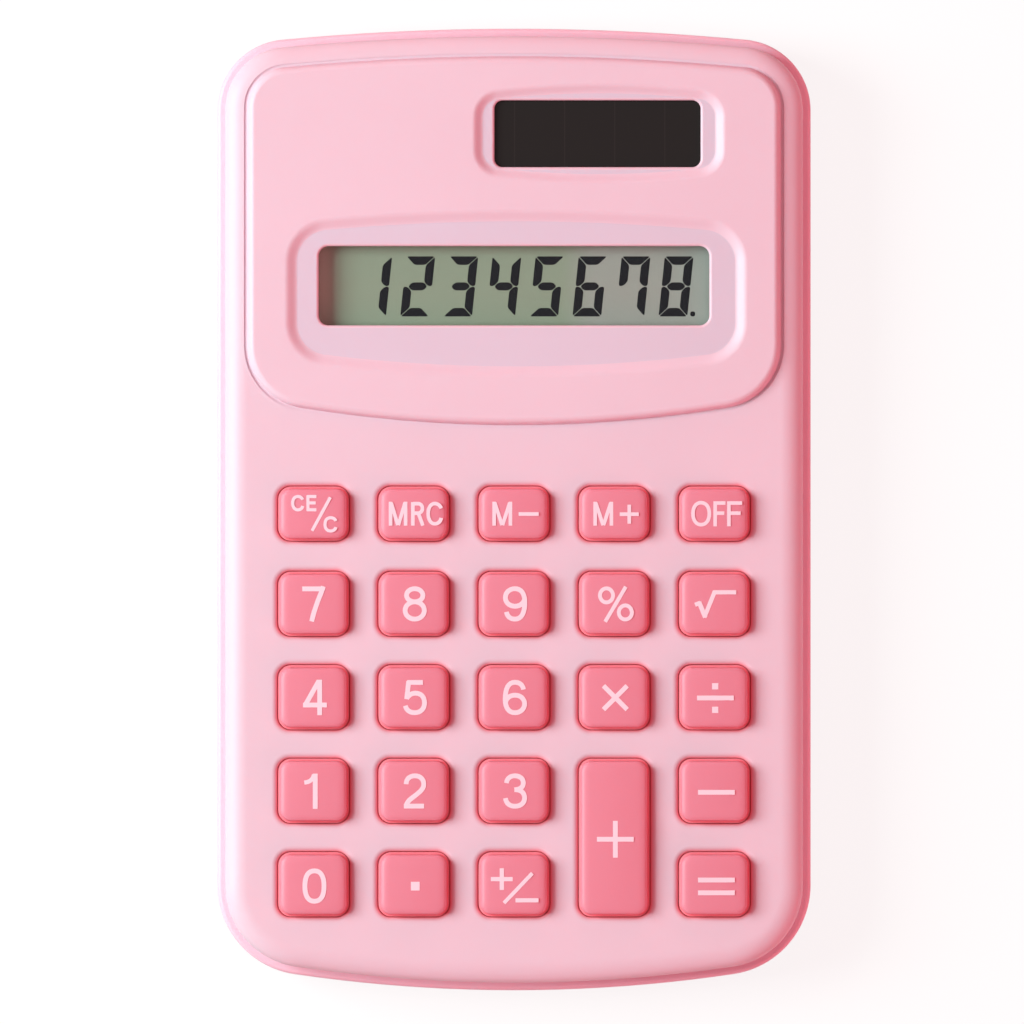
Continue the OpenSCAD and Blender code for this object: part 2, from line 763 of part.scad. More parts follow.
module chip_blob() {
    blob_r = 5;
    blob_h = 1.3;
    ball_r = (blob_r * blob_r + blob_h * blob_h) / (2 * blob_h);
    edge_a = asin(blob_r / ball_r);
    color("#181818") translate([0, upper_board_screw_y, board_top_z])
        rotate_extrude($fn = 48) polygon(concat([[0, 0]], [
            for (i = [0:6]) let (a = edge_a * (1 - i / 6))
                [ball_r * sin(a), ball_r * cos(a) - ball_r + blob_h]
        ]));
}

// Round part lying on the board along X, with a bent wire lead at each end
module axial_part(x, body_d, body_len, lead_d, lead_reach) {
    axis_z = body_d / 2 + 0.1;
    translate([x, upper_board_screw_y, board_top_z]) {
        translate([-body_len / 2, 0, axis_z]) rotate([0, 90, 0])
            cylinder(h = body_len, d = body_d);
        for (side = [-1, 1]) {
            translate([side * lead_reach, 0, 0]) cylinder(h = axis_z, d = lead_d);
            translate([side * lead_reach, 0, axis_z]) sphere(d = lead_d);
            translate([side > 0 ? 0 : -lead_reach, 0, axis_z]) rotate([0, 90, 0])
                cylinder(h = lead_reach, d = lead_d);
        }
    }
}

module capacitor() {
    color("royalblue") axial_part(key_pitch_x, 2.8, 5.0, 0.5, 3.4);
}

module resistor() {
    color("burlywood") axial_part(-key_pitch_x, 1.8, 4.4, 0.5, 3.2);
}

// ---- Battery ----

module battery_cell() {
    rim = 0.9;
    rim_t = 0.35;
    color("silver") translate([battery_x, battery_y, cell_z]) {
        cylinder(h = cell_t - rim_t, d = cell_d);
        cylinder(h = cell_t, d = cell_d - 2 * rim);
    }
}

// Springy leaf on top of the cup, bowed down on to the cell's flat end
module battery_contact_negative() {
    dip = cup_top_z - (cell_z + cell_t);
    line = [[-2, -dip], [2, -dip], [cup_in_r - 0.4, 0], [cup_out_r + tab_reach, 0]];
    color("silver") translate([battery_x, battery_y + leaf_w / 2, cup_top_z])
        rotate([90, 0, 0]) linear_extrude(leaf_w) polygon(concat(line,
            [for (i = [len(line) - 1:-1:0]) line[i] + [0, leaf_t]]));
}

// Angled leaf that stands in the cup's slot against the cell's side
module battery_contact_positive() {
    face = -cell_d / 2 - leaf_touch;
    foot = cell_z + 0.4 - cup_top_z;
    tab = -cup_out_r - tab_reach;
    color("silver") translate([battery_x, battery_y + leaf_w / 2, cup_top_z])
        rotate([90, 0, 0]) linear_extrude(leaf_w) polygon([
            [face, foot], [face, leaf_t], [tab, leaf_t], [tab, 0], [face - leaf_t, 0],
            [face - leaf_t, foot]
        ]);
}

// ---- Wires ----

function unit(v) = v / norm(v);

// Smooth line through hand-set points, with three stretches between each two
function smooth(p) = [
    for (i = [0:len(p) - 2], j = [0:(i == len(p) - 2 ? 3 : 2)])
        let (t = j / 3, a = p[max(i - 1, 0)], b = p[i], c = p[i + 1], d = p[min(i + 2, len(p) - 1)])
        0.5 * (2 * b + (c - a) * t + (2 * a - 5 * b + 4 * c - d) * t * t
            + (3 * b - 3 * c + d - a) * t * t * t)
];

// Round tube along a route that never runs straight along X
module wire(p) {
    q = smooth(p);
    last = len(q) - 1;
    sides = 8;
    rings = [for (k = [0:last]) let (
        way = unit(k == 0 ? p[1] - p[0] : k == last ? p[len(p) - 1] - p[len(p) - 2]
            : q[k + 1] - q[k - 1]),
        u = unit(cross(way, [1, 0, 0])),
        v = cross(way, u)
    ) for (s = [0:sides - 1]) let (a = 360 * s / sides)
        q[k] + wire_d / 2 * (cos(a) * u + sin(a) * v)];
    faces = [for (k = [0:last - 1], s = [0:sides - 1]) let (n = (s + 1) % sides)
        [k * sides + s, (k + 1) * sides + s, (k + 1) * sides + n, k * sides + n]];
    polyhedron(rings, concat(faces, [[for (s = [0:sides - 1]) s],
        [for (s = [sides - 1:-1:0]) last * sides + s]]));
}

// Route from a joint on a battery tab: up, over the cup's edge and down under the board
function battery_route(side) =
    let (x = battery_x + side * (cup_out_r + tab_reach / 2), z = cup_top_z + leaf_t)
    concat([[x, battery_y, z], [x, battery_y, z + wire_rise],
        [x + side * 0.3, battery_y - wire_over, z + wire_rise]], board_end(x + side * 0.6));

// Route from the back of the solar cell down under the board
function solar_route(side) =
    let (x = solar_x + side * solar_joint[0], y = solar_y + solar_joint[1],
        z = solar_top_z - solar_t)
    concat([[x, y, z], [x, y, z - wire_rise], [x, y - 1.4, z - 2.2]], board_end(x));

function board_end(x) = [for (p = wire_tail) [x, board_top_y + p[0], board_z + p[1]]];

module battery_wire_red() { color("red") wire(battery_route(-1)); }

module battery_wire_black() { color("black") wire(battery_route(1)); }

module solar_wire_red() { color("red") wire(solar_route(-1)); }

module solar_wire_black() { color("black") wire(solar_route(1)); }

// ---- Keys ----

// Hollow key cap with drafted sides, a flange under the case's face and a plunger
module key(k) {
    len = key_len(k);
    roof_z = key_top_z - key_wall;
    sides = concat([[flange_z, 0], [face_z, 0]], [
        for (i = [0:key_round_steps]) let (a = 90 * i / key_round_steps)
            [key_top_z - key_round_h * (1 - sin(a)), key_draft + key_round_w * (1 - cos(a))]
    ]);
    color("#f48298") translate([key_x(k), key_y(k), 0]) {
        difference() {
            union() {
                loft([for (s = sides)
                    [s[0], rounded(key_w - 2 * s[1], len - 2 * s[1], key_corner_r)]]);
                plate(flange_z, flange_t, rounded(key_w + 2 * flange_w, len + 2 * flange_w,
                    key_corner_r + flange_w));
            }
            plate(flange_z - through, roof_z - flange_z + through,
                rounded(key_w - 2 * key_wall, len - 2 * key_wall, least_corner_r));
        }
        translate([0, 0, plunger_z])
            cylinder(h = roof_z - plunger_z + key_wall / 4, r = plunger_r);
    }
}

// ---- Fasteners ----

// Self-tapping pan-head screw, head down, with a cross recess
module screw(seat_z, tip_z, thread_r, head_r, head_h) {
    recess_l = head_r * 1.2;
    recess_w = 0.5;
    recess_d = head_h * 0.6;
    difference() {
        union() {
            translate([0, 0, seat_z]) mirror([0, 0, 1]) rotate_extrude() polygon(concat(
                [[0, 0], [head_r, 0]],
                arc(head_r - head_h / 2, head_h / 2, head_h / 2, 0, 90, 6),
                [[0, head_h]]
            ));
            translate([0, 0, seat_z - head_h / 4])
                cylinder(h = tip_z - seat_z + head_h / 4, r = thread_r);
        }
        for (turn = [0, 90])
            translate([0, 0, seat_z - head_h]) rotate(turn)
                cube([recess_l, recess_w, 2 * recess_d], center = true);
    }
}

module case_screws() {
    color("silver") for (at = case_screws_at)
        translate([at[0], at[1], 0])
            screw(case_seat_z, pilot_end_z - 0.2, case_screw_d / 2, case_head_r, case_head_h);
}

module board_screws() {
    color("silver") for (at = board_screws_at)
        translate([at[0], at[1], 0])
            screw(board_z, pilot_end_z - 0.2, board_screw_d / 2, board_head_r, board_head_h);
}

upper_case();
lower_case();
display_lens();
lcd_polariser();
lcd_front_glass();
lcd_rear_glass();
lcd_reflector();
lcd_foam_strip();
zebra_strip();
solar_cell();
solar_wire_red();
solar_wire_black();
circuit_board();
key_contacts();
chip_blob();
capacitor();
resistor();
dome_mat();
battery_cell();
battery_contact_positive();
battery_contact_negative();
battery_wire_red();
battery_wire_black();
battery_door();
case_screws();
board_screws();
rubber_feet();
for (k = KEYS) key(k);
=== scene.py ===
"""Pocket calculator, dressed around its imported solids.

Shapes are drawn in millimetres and brought to metres when a piece is finished. An arc is
(x, y, radius, start, turn), in millimetres and radians, and an outline is a ring of arcs that
straight edges join. A profile is a list of steps (inward, onward) that shape a block's edge.
"""
import re
from math import acos, asin, atan2, ceil, cos, pi, radians, sin, sqrt

import bmesh
import bpy
from mathutils import Matrix, Vector


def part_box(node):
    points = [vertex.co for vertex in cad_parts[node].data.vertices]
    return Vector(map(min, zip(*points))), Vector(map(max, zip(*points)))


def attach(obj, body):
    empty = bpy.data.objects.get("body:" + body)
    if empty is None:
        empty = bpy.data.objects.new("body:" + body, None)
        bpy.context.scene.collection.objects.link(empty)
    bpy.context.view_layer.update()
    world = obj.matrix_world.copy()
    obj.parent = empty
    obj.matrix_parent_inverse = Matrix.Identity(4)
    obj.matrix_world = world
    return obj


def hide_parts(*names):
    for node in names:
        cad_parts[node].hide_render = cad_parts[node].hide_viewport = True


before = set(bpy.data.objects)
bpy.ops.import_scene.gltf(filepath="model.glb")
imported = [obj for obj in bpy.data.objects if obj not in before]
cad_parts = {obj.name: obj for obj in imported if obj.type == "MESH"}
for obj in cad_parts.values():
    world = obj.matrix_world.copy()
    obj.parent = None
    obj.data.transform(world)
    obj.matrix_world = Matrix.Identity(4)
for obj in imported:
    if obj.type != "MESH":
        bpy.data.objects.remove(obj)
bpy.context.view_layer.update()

MM = 0.001
ARC_ERROR = 0.005         # how far a flat stretch may lie from its arc
ROUND_STEPS = 6
JOIN = 0.002              # ends of two arcs that lie this near are one point
CLEAR = 0.5               # how far a cutter reaches past what it cuts


def span(*nodes):
    """Lowest and highest corner of CAD nodes, in millimetres."""
    corners = [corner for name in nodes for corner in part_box(name)]
    return (Vector([min(c[i] for c in corners) for i in range(3)]) / MM,
            Vector([max(c[i] for c in corners) for i in range(3)]) / MM)


def middle(*nodes):
    """Middle of the box round CAD nodes, in millimetres."""
    low, high = span(*nodes)
    return (low + high) / 2


KEYS = sorted(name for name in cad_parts
              if name.startswith("key_") and name != "key_contacts")

# ---------------------------------------- heights and places

LIP_H = 1.2               # the upper case's lip reaches this far below the seam
PANEL_RISE = 1.0          # display panel over the keypad face
DISH_DEPTH = 0.6
WALL = 1.6
BOSS_BITE = 0.4           # how far bosses and frames run into the wall that holds them

LOWER_LOW, LOWER_HIGH = span("lower_case")
UPPER_LOW, UPPER_HIGH = span("upper_case")
BODY_W = LOWER_HIGH.x - LOWER_LOW.x
TOP_Y, BOTTOM_Y = LOWER_HIGH.y, LOWER_LOW.y
BACK_Z = LOWER_LOW.z
SEAM_Z = UPPER_LOW.z + LIP_H
PANEL_Z = UPPER_HIGH.z
FACE_Z = PANEL_Z - PANEL_RISE
DISH_Z = PANEL_Z - DISH_DEPTH
FLOOR_Z = BACK_Z + WALL
CEILING_Z = FACE_Z - WALL
LENS_TOP_Z = span("display_lens")[1].z
BOARD_TOP_Z = span("circuit_board")[1].z
KEY_TOP_Z = span("key_5")[1].z
FLANGE_W, FLANGE_T = 0.9, 0.8        # rim of a key that stays under the face
KEY_CORNER_R, KEY_GAP, KEY_WALL = 1.5, 0.12, 1.2
KEY_INSET = 0.22                     # from a key's foot line to the wall of its cap
KEY_SKIRT, SKIRT_H = 0.28, 0.4       # cove at the foot of a cap, just under the face
PLUNGER_R, PLUNGER_DROP = 1.7, 0.2   # peg on the dome, and how far it passes the flange
TOP_KEY_L, TOP_ROW_GAP = 6.4, 3.8

DISPLAY = middle("display_lens")
SOLAR = middle("solar_cell")
DOOR = middle("battery_door")
FEET_LOW, FEET_HIGH = span("rubber_feet")
FOOT_R = 3.8
FOOT_AT = [(sx * (FEET_HIGH.x - FOOT_R), sy * (FEET_HIGH.y - FOOT_R))
           for sx in (-1, 1) for sy in (-1, 1)]

LENS_FRAME, CELL_FRAME = (54.2, 18.7), (28.7, 12.0)    # walls round the lens and the cell
FRAME_WALL = 1.0

# Corners of the case, from its outer line
TOP_BOW_R, BOTTOM_BOW_R, TOP_CORNER_R, BOTTOM_CORNER_R = 294, 180, 8.5, 10.8
CASE_SCREW_EDGE = 4.6                # from the case's edge to a screw
CASE_SCREW_Z = BACK_Z + 2.4          # seat of the screw heads
CORNER = (BODY_W / 2 - TOP_CORNER_R,
          TOP_Y - TOP_BOW_R + sqrt((TOP_BOW_R - TOP_CORNER_R) ** 2
                                   - (BODY_W / 2 - TOP_CORNER_R) ** 2))
CORNER_SCREW = (TOP_CORNER_R - CASE_SCREW_EDGE) * cos(pi / 4)
PITCH = middle("key_5").x - middle("key_4").x
TOP_ROW = middle("key_mrc")
LOW_ROW = middle("key_0")
ROW_GAP_Y = [(TOP_ROW.y - TOP_KEY_L / 2) - TOP_ROW_GAP / 2,
             (middle("key_1").y + middle("key_4").y) / 2]
SIDE_SCREW_Y = span("key_mrc")[1].y + 2.5
BOTTOM_SCREW_Y = (BOTTOM_Y + BOTTOM_BOW_R - sqrt(BOTTOM_BOW_R ** 2 - (1.5 * PITCH) ** 2)
                  + CASE_SCREW_EDGE)
BOARD_SCREW_Y = (span("key_mrc")[1].y + DISPLAY.y - LENS_FRAME[1] / 2) / 2
CASE_SCREWS = [(side * x, y) for side in (-1, 1) for x, y in (
    (CORNER[0] + CORNER_SCREW, CORNER[1] + CORNER_SCREW),
    (BODY_W / 2 - CASE_SCREW_EDGE, SIDE_SCREW_Y), (1.5 * PITCH, BOTTOM_SCREW_Y))]
BOARD_SCREWS = [(side * x, y) for side in (-1, 1) for x, y in (
    (20, BOARD_SCREW_Y), (1.5 * PITCH, ROW_GAP_Y[0]), (1.5 * PITCH, ROW_GAP_Y[1]),
    (11, span("key_0")[0].y - 2.2))]

# ---------------------------------------- camera and stage

FIELD = 0.12288                      # width of the view at the height of the seam, metres
CAMERA_HEIGHT = 2.5
VIEW_SHIFT = (-0.00024, -0.0003)
FLOOR_HALF = 1.6
FILL_TINT, FILL = "#FFAEB5", 0.47    # light from all round
FLOOR_GLOW = 0.86                    # share of the floor's white that is its own light

# Turn from +X and lean from overhead in degrees, distance and size in metres, watts, tint.
# The softbox is the key light, and the rose cards warm the shaded walls.
LAMPS = {
    "left_softbox": (170, 53, 0.80, 0.42, 8.55, "#E9FFFF"),
    "left_strip": (178, 76, 0.8, 0.30, 0.5, "#FFFFFF"),
    "rose_card": (-35, 74, 0.8, 0.50, 3.4, "#FF7482"),
    "far_rose_card": (80, 76, 0.8, 0.50, 1.9, "#FF5664"),
}


def linear(code):
    """An sRGB hex value as linear RGBA."""
    parts = [int(code[i:i + 2], 16) / 255 for i in (1, 3, 5)]
    return [c / 12.92 if c <= 0.04045 else ((c + 0.055) / 1.055) ** 2.4 for c in parts] + [1]


def add(tree, kind, inputs=None, **settings):
    """Adds a shader node with its settings; an input given as a socket is linked."""
    node = tree.nodes.new("ShaderNode" + kind)
    for name, value in settings.items():
        setattr(node, name, value)
    for name, value in (inputs or {}).items():
        if isinstance(value, bpy.types.NodeSocket):
            tree.links.new(value, node.inputs[name])
        else:
            node.inputs[name].default_value = value
    return node


def seen_straight(tree):
    """1 where a ray comes from the camera, a gloss or through glass, and 0 for light."""
    path = add(tree, "LightPath").outputs
    gloss = add(tree, "Math", {0: path["Is Glossy Ray"], 1: path["Is Transmission Ray"]},
                operation="MAXIMUM")
    return add(tree, "Math", {0: path["Is Camera Ray"], 1: gloss.outputs[0]},
               operation="MAXIMUM").outputs[0]


def set_world():
    """Rose light from all round, and plain white wherever the sweep is looked at."""
    world = bpy.data.worlds.new("studio")
    bpy.context.scene.world = world
    world.use_nodes = True
    tree = world.node_tree
    tree.nodes.clear()
    light = add(tree, "Background", {"Color": linear(FILL_TINT), "Strength": FILL})
    backdrop = add(tree, "Background", {"Color": (1, 1, 1, 1), "Strength": 1.0})
    mixed = add(tree, "MixShader", {0: seen_straight(tree), 1: light.outputs[0],
                                    2: backdrop.outputs[0]})
    add(tree, "OutputWorld", {"Surface": mixed.outputs[0]})


def floor_paint():
    """White sweep: plain matt paper for the light, lifted to white where it is looked at."""
    paint = bpy.data.materials.new("matt_paper")
    paint.use_nodes = True
    tree = paint.node_tree
    tree.nodes.clear()
    matt = add(tree, "BsdfDiffuse", {"Color": linear("#A9A5A6")})
    bright = add(tree, "BsdfDiffuse", {"Color": linear("#FFFFFF")})
    glow = add(tree, "Emission", {"Color": (1, 1, 1, 1), "Strength": 1.0})
    looked_at = add(tree, "MixShader", {0: FLOOR_GLOW, 1: bright.outputs[0], 2: glow.outputs[0]})
    by_ray = add(tree, "MixShader", {0: seen_straight(tree), 1: matt.outputs[0],
                                     2: looked_at.outputs[0]})
    under = add(tree, "NewGeometry").outputs["Backfacing"]
    clear = add(tree, "BsdfTransparent")
    one_sided = add(tree, "MixShader", {0: under, 1: by_ray.outputs[0], 2: clear.outputs[0]})
    add(tree, "OutputMaterial", {"Surface": one_sided.outputs[0]})
    return paint


def set_stage():
    """Level floor under the calculator."""
    bm = bmesh.new()
    bmesh.ops.create_grid(bm, x_segments=1, y_segments=1, size=FLOOR_HALF)
    mesh = bpy.data.meshes.new("floor")
    bm.to_mesh(mesh)
    bm.free()
    floor = bpy.data.objects.new("floor", mesh)
    mesh.materials.append(floor_paint())
    bpy.context.scene.collection.objects.link(floor)


def lamp(name, turn, lean, far, size, power, tint):
    """Square soft lamp that faces the calculator."""
    data = bpy.data.lights.new(name, "AREA")
    data.size, data.energy, data.color = size, power, linear(tint)[:3]
    lit = bpy.data.objects.new(name, data)
    turn, lean = radians(turn), radians(lean)
    lit.location = Vector((sin(lean) * cos(turn), sin(lean) * sin(turn), cos(lean))) * far
    lit.rotation_euler = (-lit.location).to_track_quat("-Z", "Y").to_euler()
    bpy.context.scene.collection.objects.link(lit)


def set_camera():
    """Long lens straight overhead, turned with +Y up."""
    data = bpy.data.cameras.new("camera")
    camera = bpy.data.objects.new("camera", data)
    data.lens = data.sensor_width * (CAMERA_HEIGHT - SEAM_Z * MM) / FIELD
    data.clip_start, data.clip_end = 0.05, 20
    camera.location = (*VIEW_SHIFT, CAMERA_HEIGHT)
    bpy.context.scene.collection.objects.link(camera)
    bpy.context.scene.camera = camera


bpy.context.scene.view_settings.view_transform = "Standard"
set_camera()
set_world()
set_stage()
for name, setting in LAMPS.items():
    lamp(name, *setting)

# ---------------------------------------- finishes

MOUTH_FADE = 0.35                    # depth over which the painted coral glow and shade in the openings' mouths deepens
FILM_PAINTED_RAMP = (5, 10)                  # x where the display film passes from green to a lighter grey: a painted fall of light across it
FILM_PAINTED_LIGHT = (-20.8, -23.6)           # x where painted light pales it towards its left end, against the shadow of the window's wall
SCRIBE_PITCH, SCRIBE_W = 6.0, 0.12   # lines between the cells of the solar cell
LAYER_PITCH = 0.36                   # layers of the elastomer connector


def started(name):
    """A new material's shader and its node tree."""
    paint = bpy.data.materials.new(name)
    paint.use_nodes = True
    return paint, paint.node_tree, paint.node_tree.nodes["Principled BSDF"]


def dress(tree, shader, **values):
    """Sets the shader's sockets, or links them; an underscore in a name stands for a space."""
    for name, value in values.items():
        socket = shader.inputs[name.replace("_", " ")]
        if isinstance(value, bpy.types.NodeSocket):
            tree.links.new(value, socket)
        else:
            socket.default_value = value


def moulded(name, colour, rough, grain=0.16, depth=0.0015, tone=0.02, **more):
    """Moulded plastic, rubber or resin: a slow drift of colour, and a fine grain from the tool
    that varies the gloss. grain is its spacing and depth its height, in millimetres."""
    paint, tree, shader = started(name)
    place = add(tree, "TexCoord").outputs["Object"]
    drift = add(tree, "TexNoise", {"Vector": place, "Scale": 1 / (14 * MM), "Detail": 1.0})
    fine = add(tree, "TexNoise", {"Vector": place, "Scale": 1 / (grain * MM), "Detail": 2.0})
    base = linear(colour)[:3]
    low, high = ([min(1, c * f) for c in base] + [1] for f in (1 - tone, 1 + tone))
    mixed = add(tree, "Mix", {0: drift.outputs["Fac"], 6: low, 7: high}, data_type="RGBA")
    gloss = add(tree, "MapRange", {"Value": fine.outputs["Fac"], "To Min": rough - 0.04,
                                   "To Max": rough + 0.04})
    bump = add(tree, "Bump", {"Strength": 0.5, "Distance": depth * MM,
                              "Height": fine.outputs["Fac"]})
    dress(tree, shader, Base_Color=mixed.outputs[2], Roughness=gloss.outputs["Result"],
          Normal=bump.outputs["Normal"], **more)
    return paint


def shell_plastic(name, colour, rough):
    """Satin ABS: light sinks into it and comes out redder, which keeps its shaded walls warm."""
    return moulded(name, colour, rough, Specular_IOR_Level=0.35, Subsurface_Weight=0.2,
                   Subsurface_Radius=(1.0, 0.3, 0.3), Subsurface_Scale=0.4 * MM)


def mouth_painted_glow(name, outer, inner):
    """Pink ABS at the mouths of the openings, with the keys' coral light and the gap's shade
    painted
    in: it passes from the colour of the face to a deep coral over the round."""
    paint, tree, shader = started(name)
    place = add(tree, "TexCoord").outputs["Object"]
    height = add(tree, "SeparateXYZ", {0: place}).outputs["Z"]
    share = add(tree, "MapRange", {"Value": height, "From Min": FACE_Z * MM,
                                   "From Max": (FACE_Z - MOUTH_FADE) * MM})
    tint = add(tree, "Mix", {0: share.outputs["Result"], 6: linear(outer), 7: linear(inner)},
               data_type="RGBA")
    dress(tree, shader, Base_Color=tint.outputs[2], Roughness=0.5, Specular_IOR_Level=0.2)
    return paint


def clear_acrylic():
    """Cast acrylic window: almost nothing but a faint gloss over the display."""
    return moulded("clear_acrylic", "#5A6066", 0.08, depth=0.0002, tone=0, Alpha=0.05)


def display_film():
    """Polariser film: grey-green, soft sheen, with painted light: greyer to the right, paler at the
    left end.
    """
    paint, tree, shader = started("polariser_film")
    place = add(tree, "TexCoord").outputs["Object"]
    along = add(tree, "SeparateXYZ", {0: place}).outputs["X"]
    # Painted fall of light: the film turns lighter and greyer towards the right
    share = add(tree, "MapRange", {"Value": along, "From Min": FILM_PAINTED_RAMP[0] * MM,
                                   "From Max": FILM_PAINTED_RAMP[1] * MM},
                interpolation_type="SMOOTHSTEP")
    tint = add(tree, "Mix", {0: share.outputs["Result"], 6: linear("#8CA18A"),
                             7: linear("#99A69B")}, data_type="RGBA")
    # Painted light: the left end pales to cancel the shadow that the window's wall casts on it
    painted_light_end = add(tree, "MapRange", {"Value": along, "From Min": FILM_PAINTED_LIGHT[0] * MM,
                                      "From Max": FILM_PAINTED_LIGHT[1] * MM},
                   interpolation_type="SMOOTHSTEP")
    tint = add(tree, "Mix", {0: painted_light_end.outputs["Result"], 6: tint.outputs[2],
                             7: linear("#BFCDB8")}, data_type="RGBA")
    dress(tree, shader, Base_Color=tint.outputs[2], Roughness=0.35, Specular_IOR_Level=0.1)
    return paint


def silicon_cell():
    """Amorphous silicon behind glass: brown-black, with fine paler scribe lines."""
    paint, tree, shader = started("amorphous_silicon")
    place = add(tree, "TexCoord").outputs["Object"]
    along = add(tree, "SeparateXYZ", {0: place}).outputs["X"]
    lines = add(tree, "Math", {0: along, 1: SCRIBE_PITCH * MM}, operation="WRAP")
    lines.inputs[2].default_value = 0
    near = add(tree, "Math", {0: lines.outputs[0], 1: SCRIBE_W * MM}, operation="LESS_THAN")
    tint = add(tree, "Mix", {0: near.outputs[0], 6: linear("#1F1C1B"), 7: linear("#272322")},
               data_type="RGBA")
    dress(tree, shader, Base_Color=tint.outputs[2], Roughness=0.30, Specular_IOR_Level=0.12)
    return paint


def striped_rubber():
    """Elastomer connector: silicone with thin black conducting layers across it."""
    paint, tree, shader = started("striped_silicone")
    place = add(tree, "TexCoord").outputs["Object"]
    along = add(tree, "SeparateXYZ", {0: place}).outputs["X"]
    phase = add(tree, "Math", {0: along, 1: 2 * pi / (LAYER_PITCH * MM)}, operation="MULTIPLY")
    wave = add(tree, "Math", {0: phase.outputs[0]}, operation="SINE")
    dark = add(tree, "Math", {0: wave.outputs[0], 1: 0.1}, operation="GREATER_THAN")
    tint = add(tree, "Mix", {0: dark.outputs[0], 6: linear("#C9C4BC"), 7: linear("#1C1C1E")},
               data_type="RGBA")
    dress(tree, shader, Base_Color=tint.outputs[2], Roughness=0.6)
    return paint


def worked_metal(name, colour, rough, scratch):
    """Plated or rolled metal: fine lines of a given spacing vary its gloss."""
    paint, tree, shader = started(name)
    place = add(tree, "TexCoord").outputs["Object"]
    stretched = add(tree, "Mapping", {"Vector": place, "Scale": (0.1, 1, 1)})
    lines = add(tree, "TexNoise", {"Vector": stretched.outputs[0], "Scale": 1 / (scratch * MM),
                                   "Detail": 3.0})
    gloss = add(tree, "MapRange", {"Value": lines.outputs["Fac"], "To Min": rough - 0.08,
                                   "To Max": rough + 0.1})
    dress(tree, shader, Base_Color=linear(colour), Metallic=1.0,
          Roughness=gloss.outputs["Result"])
    return paint


def banded_resin():
    """Carbon-film resistor: tan lacquer with four painted colour bands."""
    paint, tree, shader = started("resistor_lacquer")
    place = add(tree, "TexCoord").outputs["Object"]
    along = add(tree, "SeparateXYZ", {0: place}).outputs["X"]
    mid = middle("resistor").x * MM
    share = add(tree, "MapRange", {"Value": along, "From Min": mid - 2.2 * MM,
                                   "From Max": mid + 2.2 * MM})
    ramp = add(tree, "ValToRGB", {"Fac": share.outputs["Result"]})
    ramp.color_ramp.interpolation = "CONSTANT"
    coat = "#C9A878"
    stops = [(0.0, coat), (0.14, "#6B3A1E"), (0.24, coat), (0.36, "#151515"), (0.46, coat),
             (0.58, "#B5651D"), (0.68, coat), (0.84, "#B08D2E"), (0.93, coat)]
    for stop, _ in stops[1:]:
        ramp.color_ramp.elements.new(stop)
    for element, (stop, code) in zip(ramp.color_ramp.elements, stops):
        element.position, element.color = stop, linear(code)
    dress(tree, shader, Base_Color=ramp.outputs["Color"], Roughness=0.35)
    return paint


# Upper case: satin pink with a fine grain
PINK = shell_plastic("pink_abs", "#DEC5D0", 0.45)
# Floors of the dishes: the same plastic, finer, and a little cooler: a painted lilac reflection
PINK_DISH_REFLECTION = shell_plastic("pink_abs_painted_lilac", "#D2C4D1", 0.5)
# Rounded mouths of the key openings: pink that turns coral with depth, a painted glow and shade
PINK_PAINTED_GLOW = mouth_painted_glow("pink_abs_painted_glow", "#DEC5D0", "#E67C88")
# Lower case and battery door: the same satin, a little warmer
PINK_BACK = shell_plastic("pink_abs_back", "#EAC4D2", 0.46)
# Key caps: satin coral
CORAL = shell_plastic("coral_abs", "#DA8595", 0.42)
# Foot of a cap, between coral walls: more matt, and brighter, a painted glow of light bounced in
# the gap
CORAL_PAINTED_GLOW = shell_plastic("coral_abs_painted_glow", "#F08490", 0.5)
# Legends: pale matt print
INK = moulded("pad_print_ink", "#EDD4DD", 0.55, grain=0.1, depth=0.0005)
# Display figures: flat near-black
SEGMENT = moulded("liquid_crystal", "#121417", 0.4, depth=0, tone=0.1, Specular_IOR_Level=0.1)
# Feet: dull dark grey with a coarse grain
RUBBER = moulded("foot_rubber", "#3B3A3C", 0.8, grain=0.2, depth=0.004, tone=0.08)

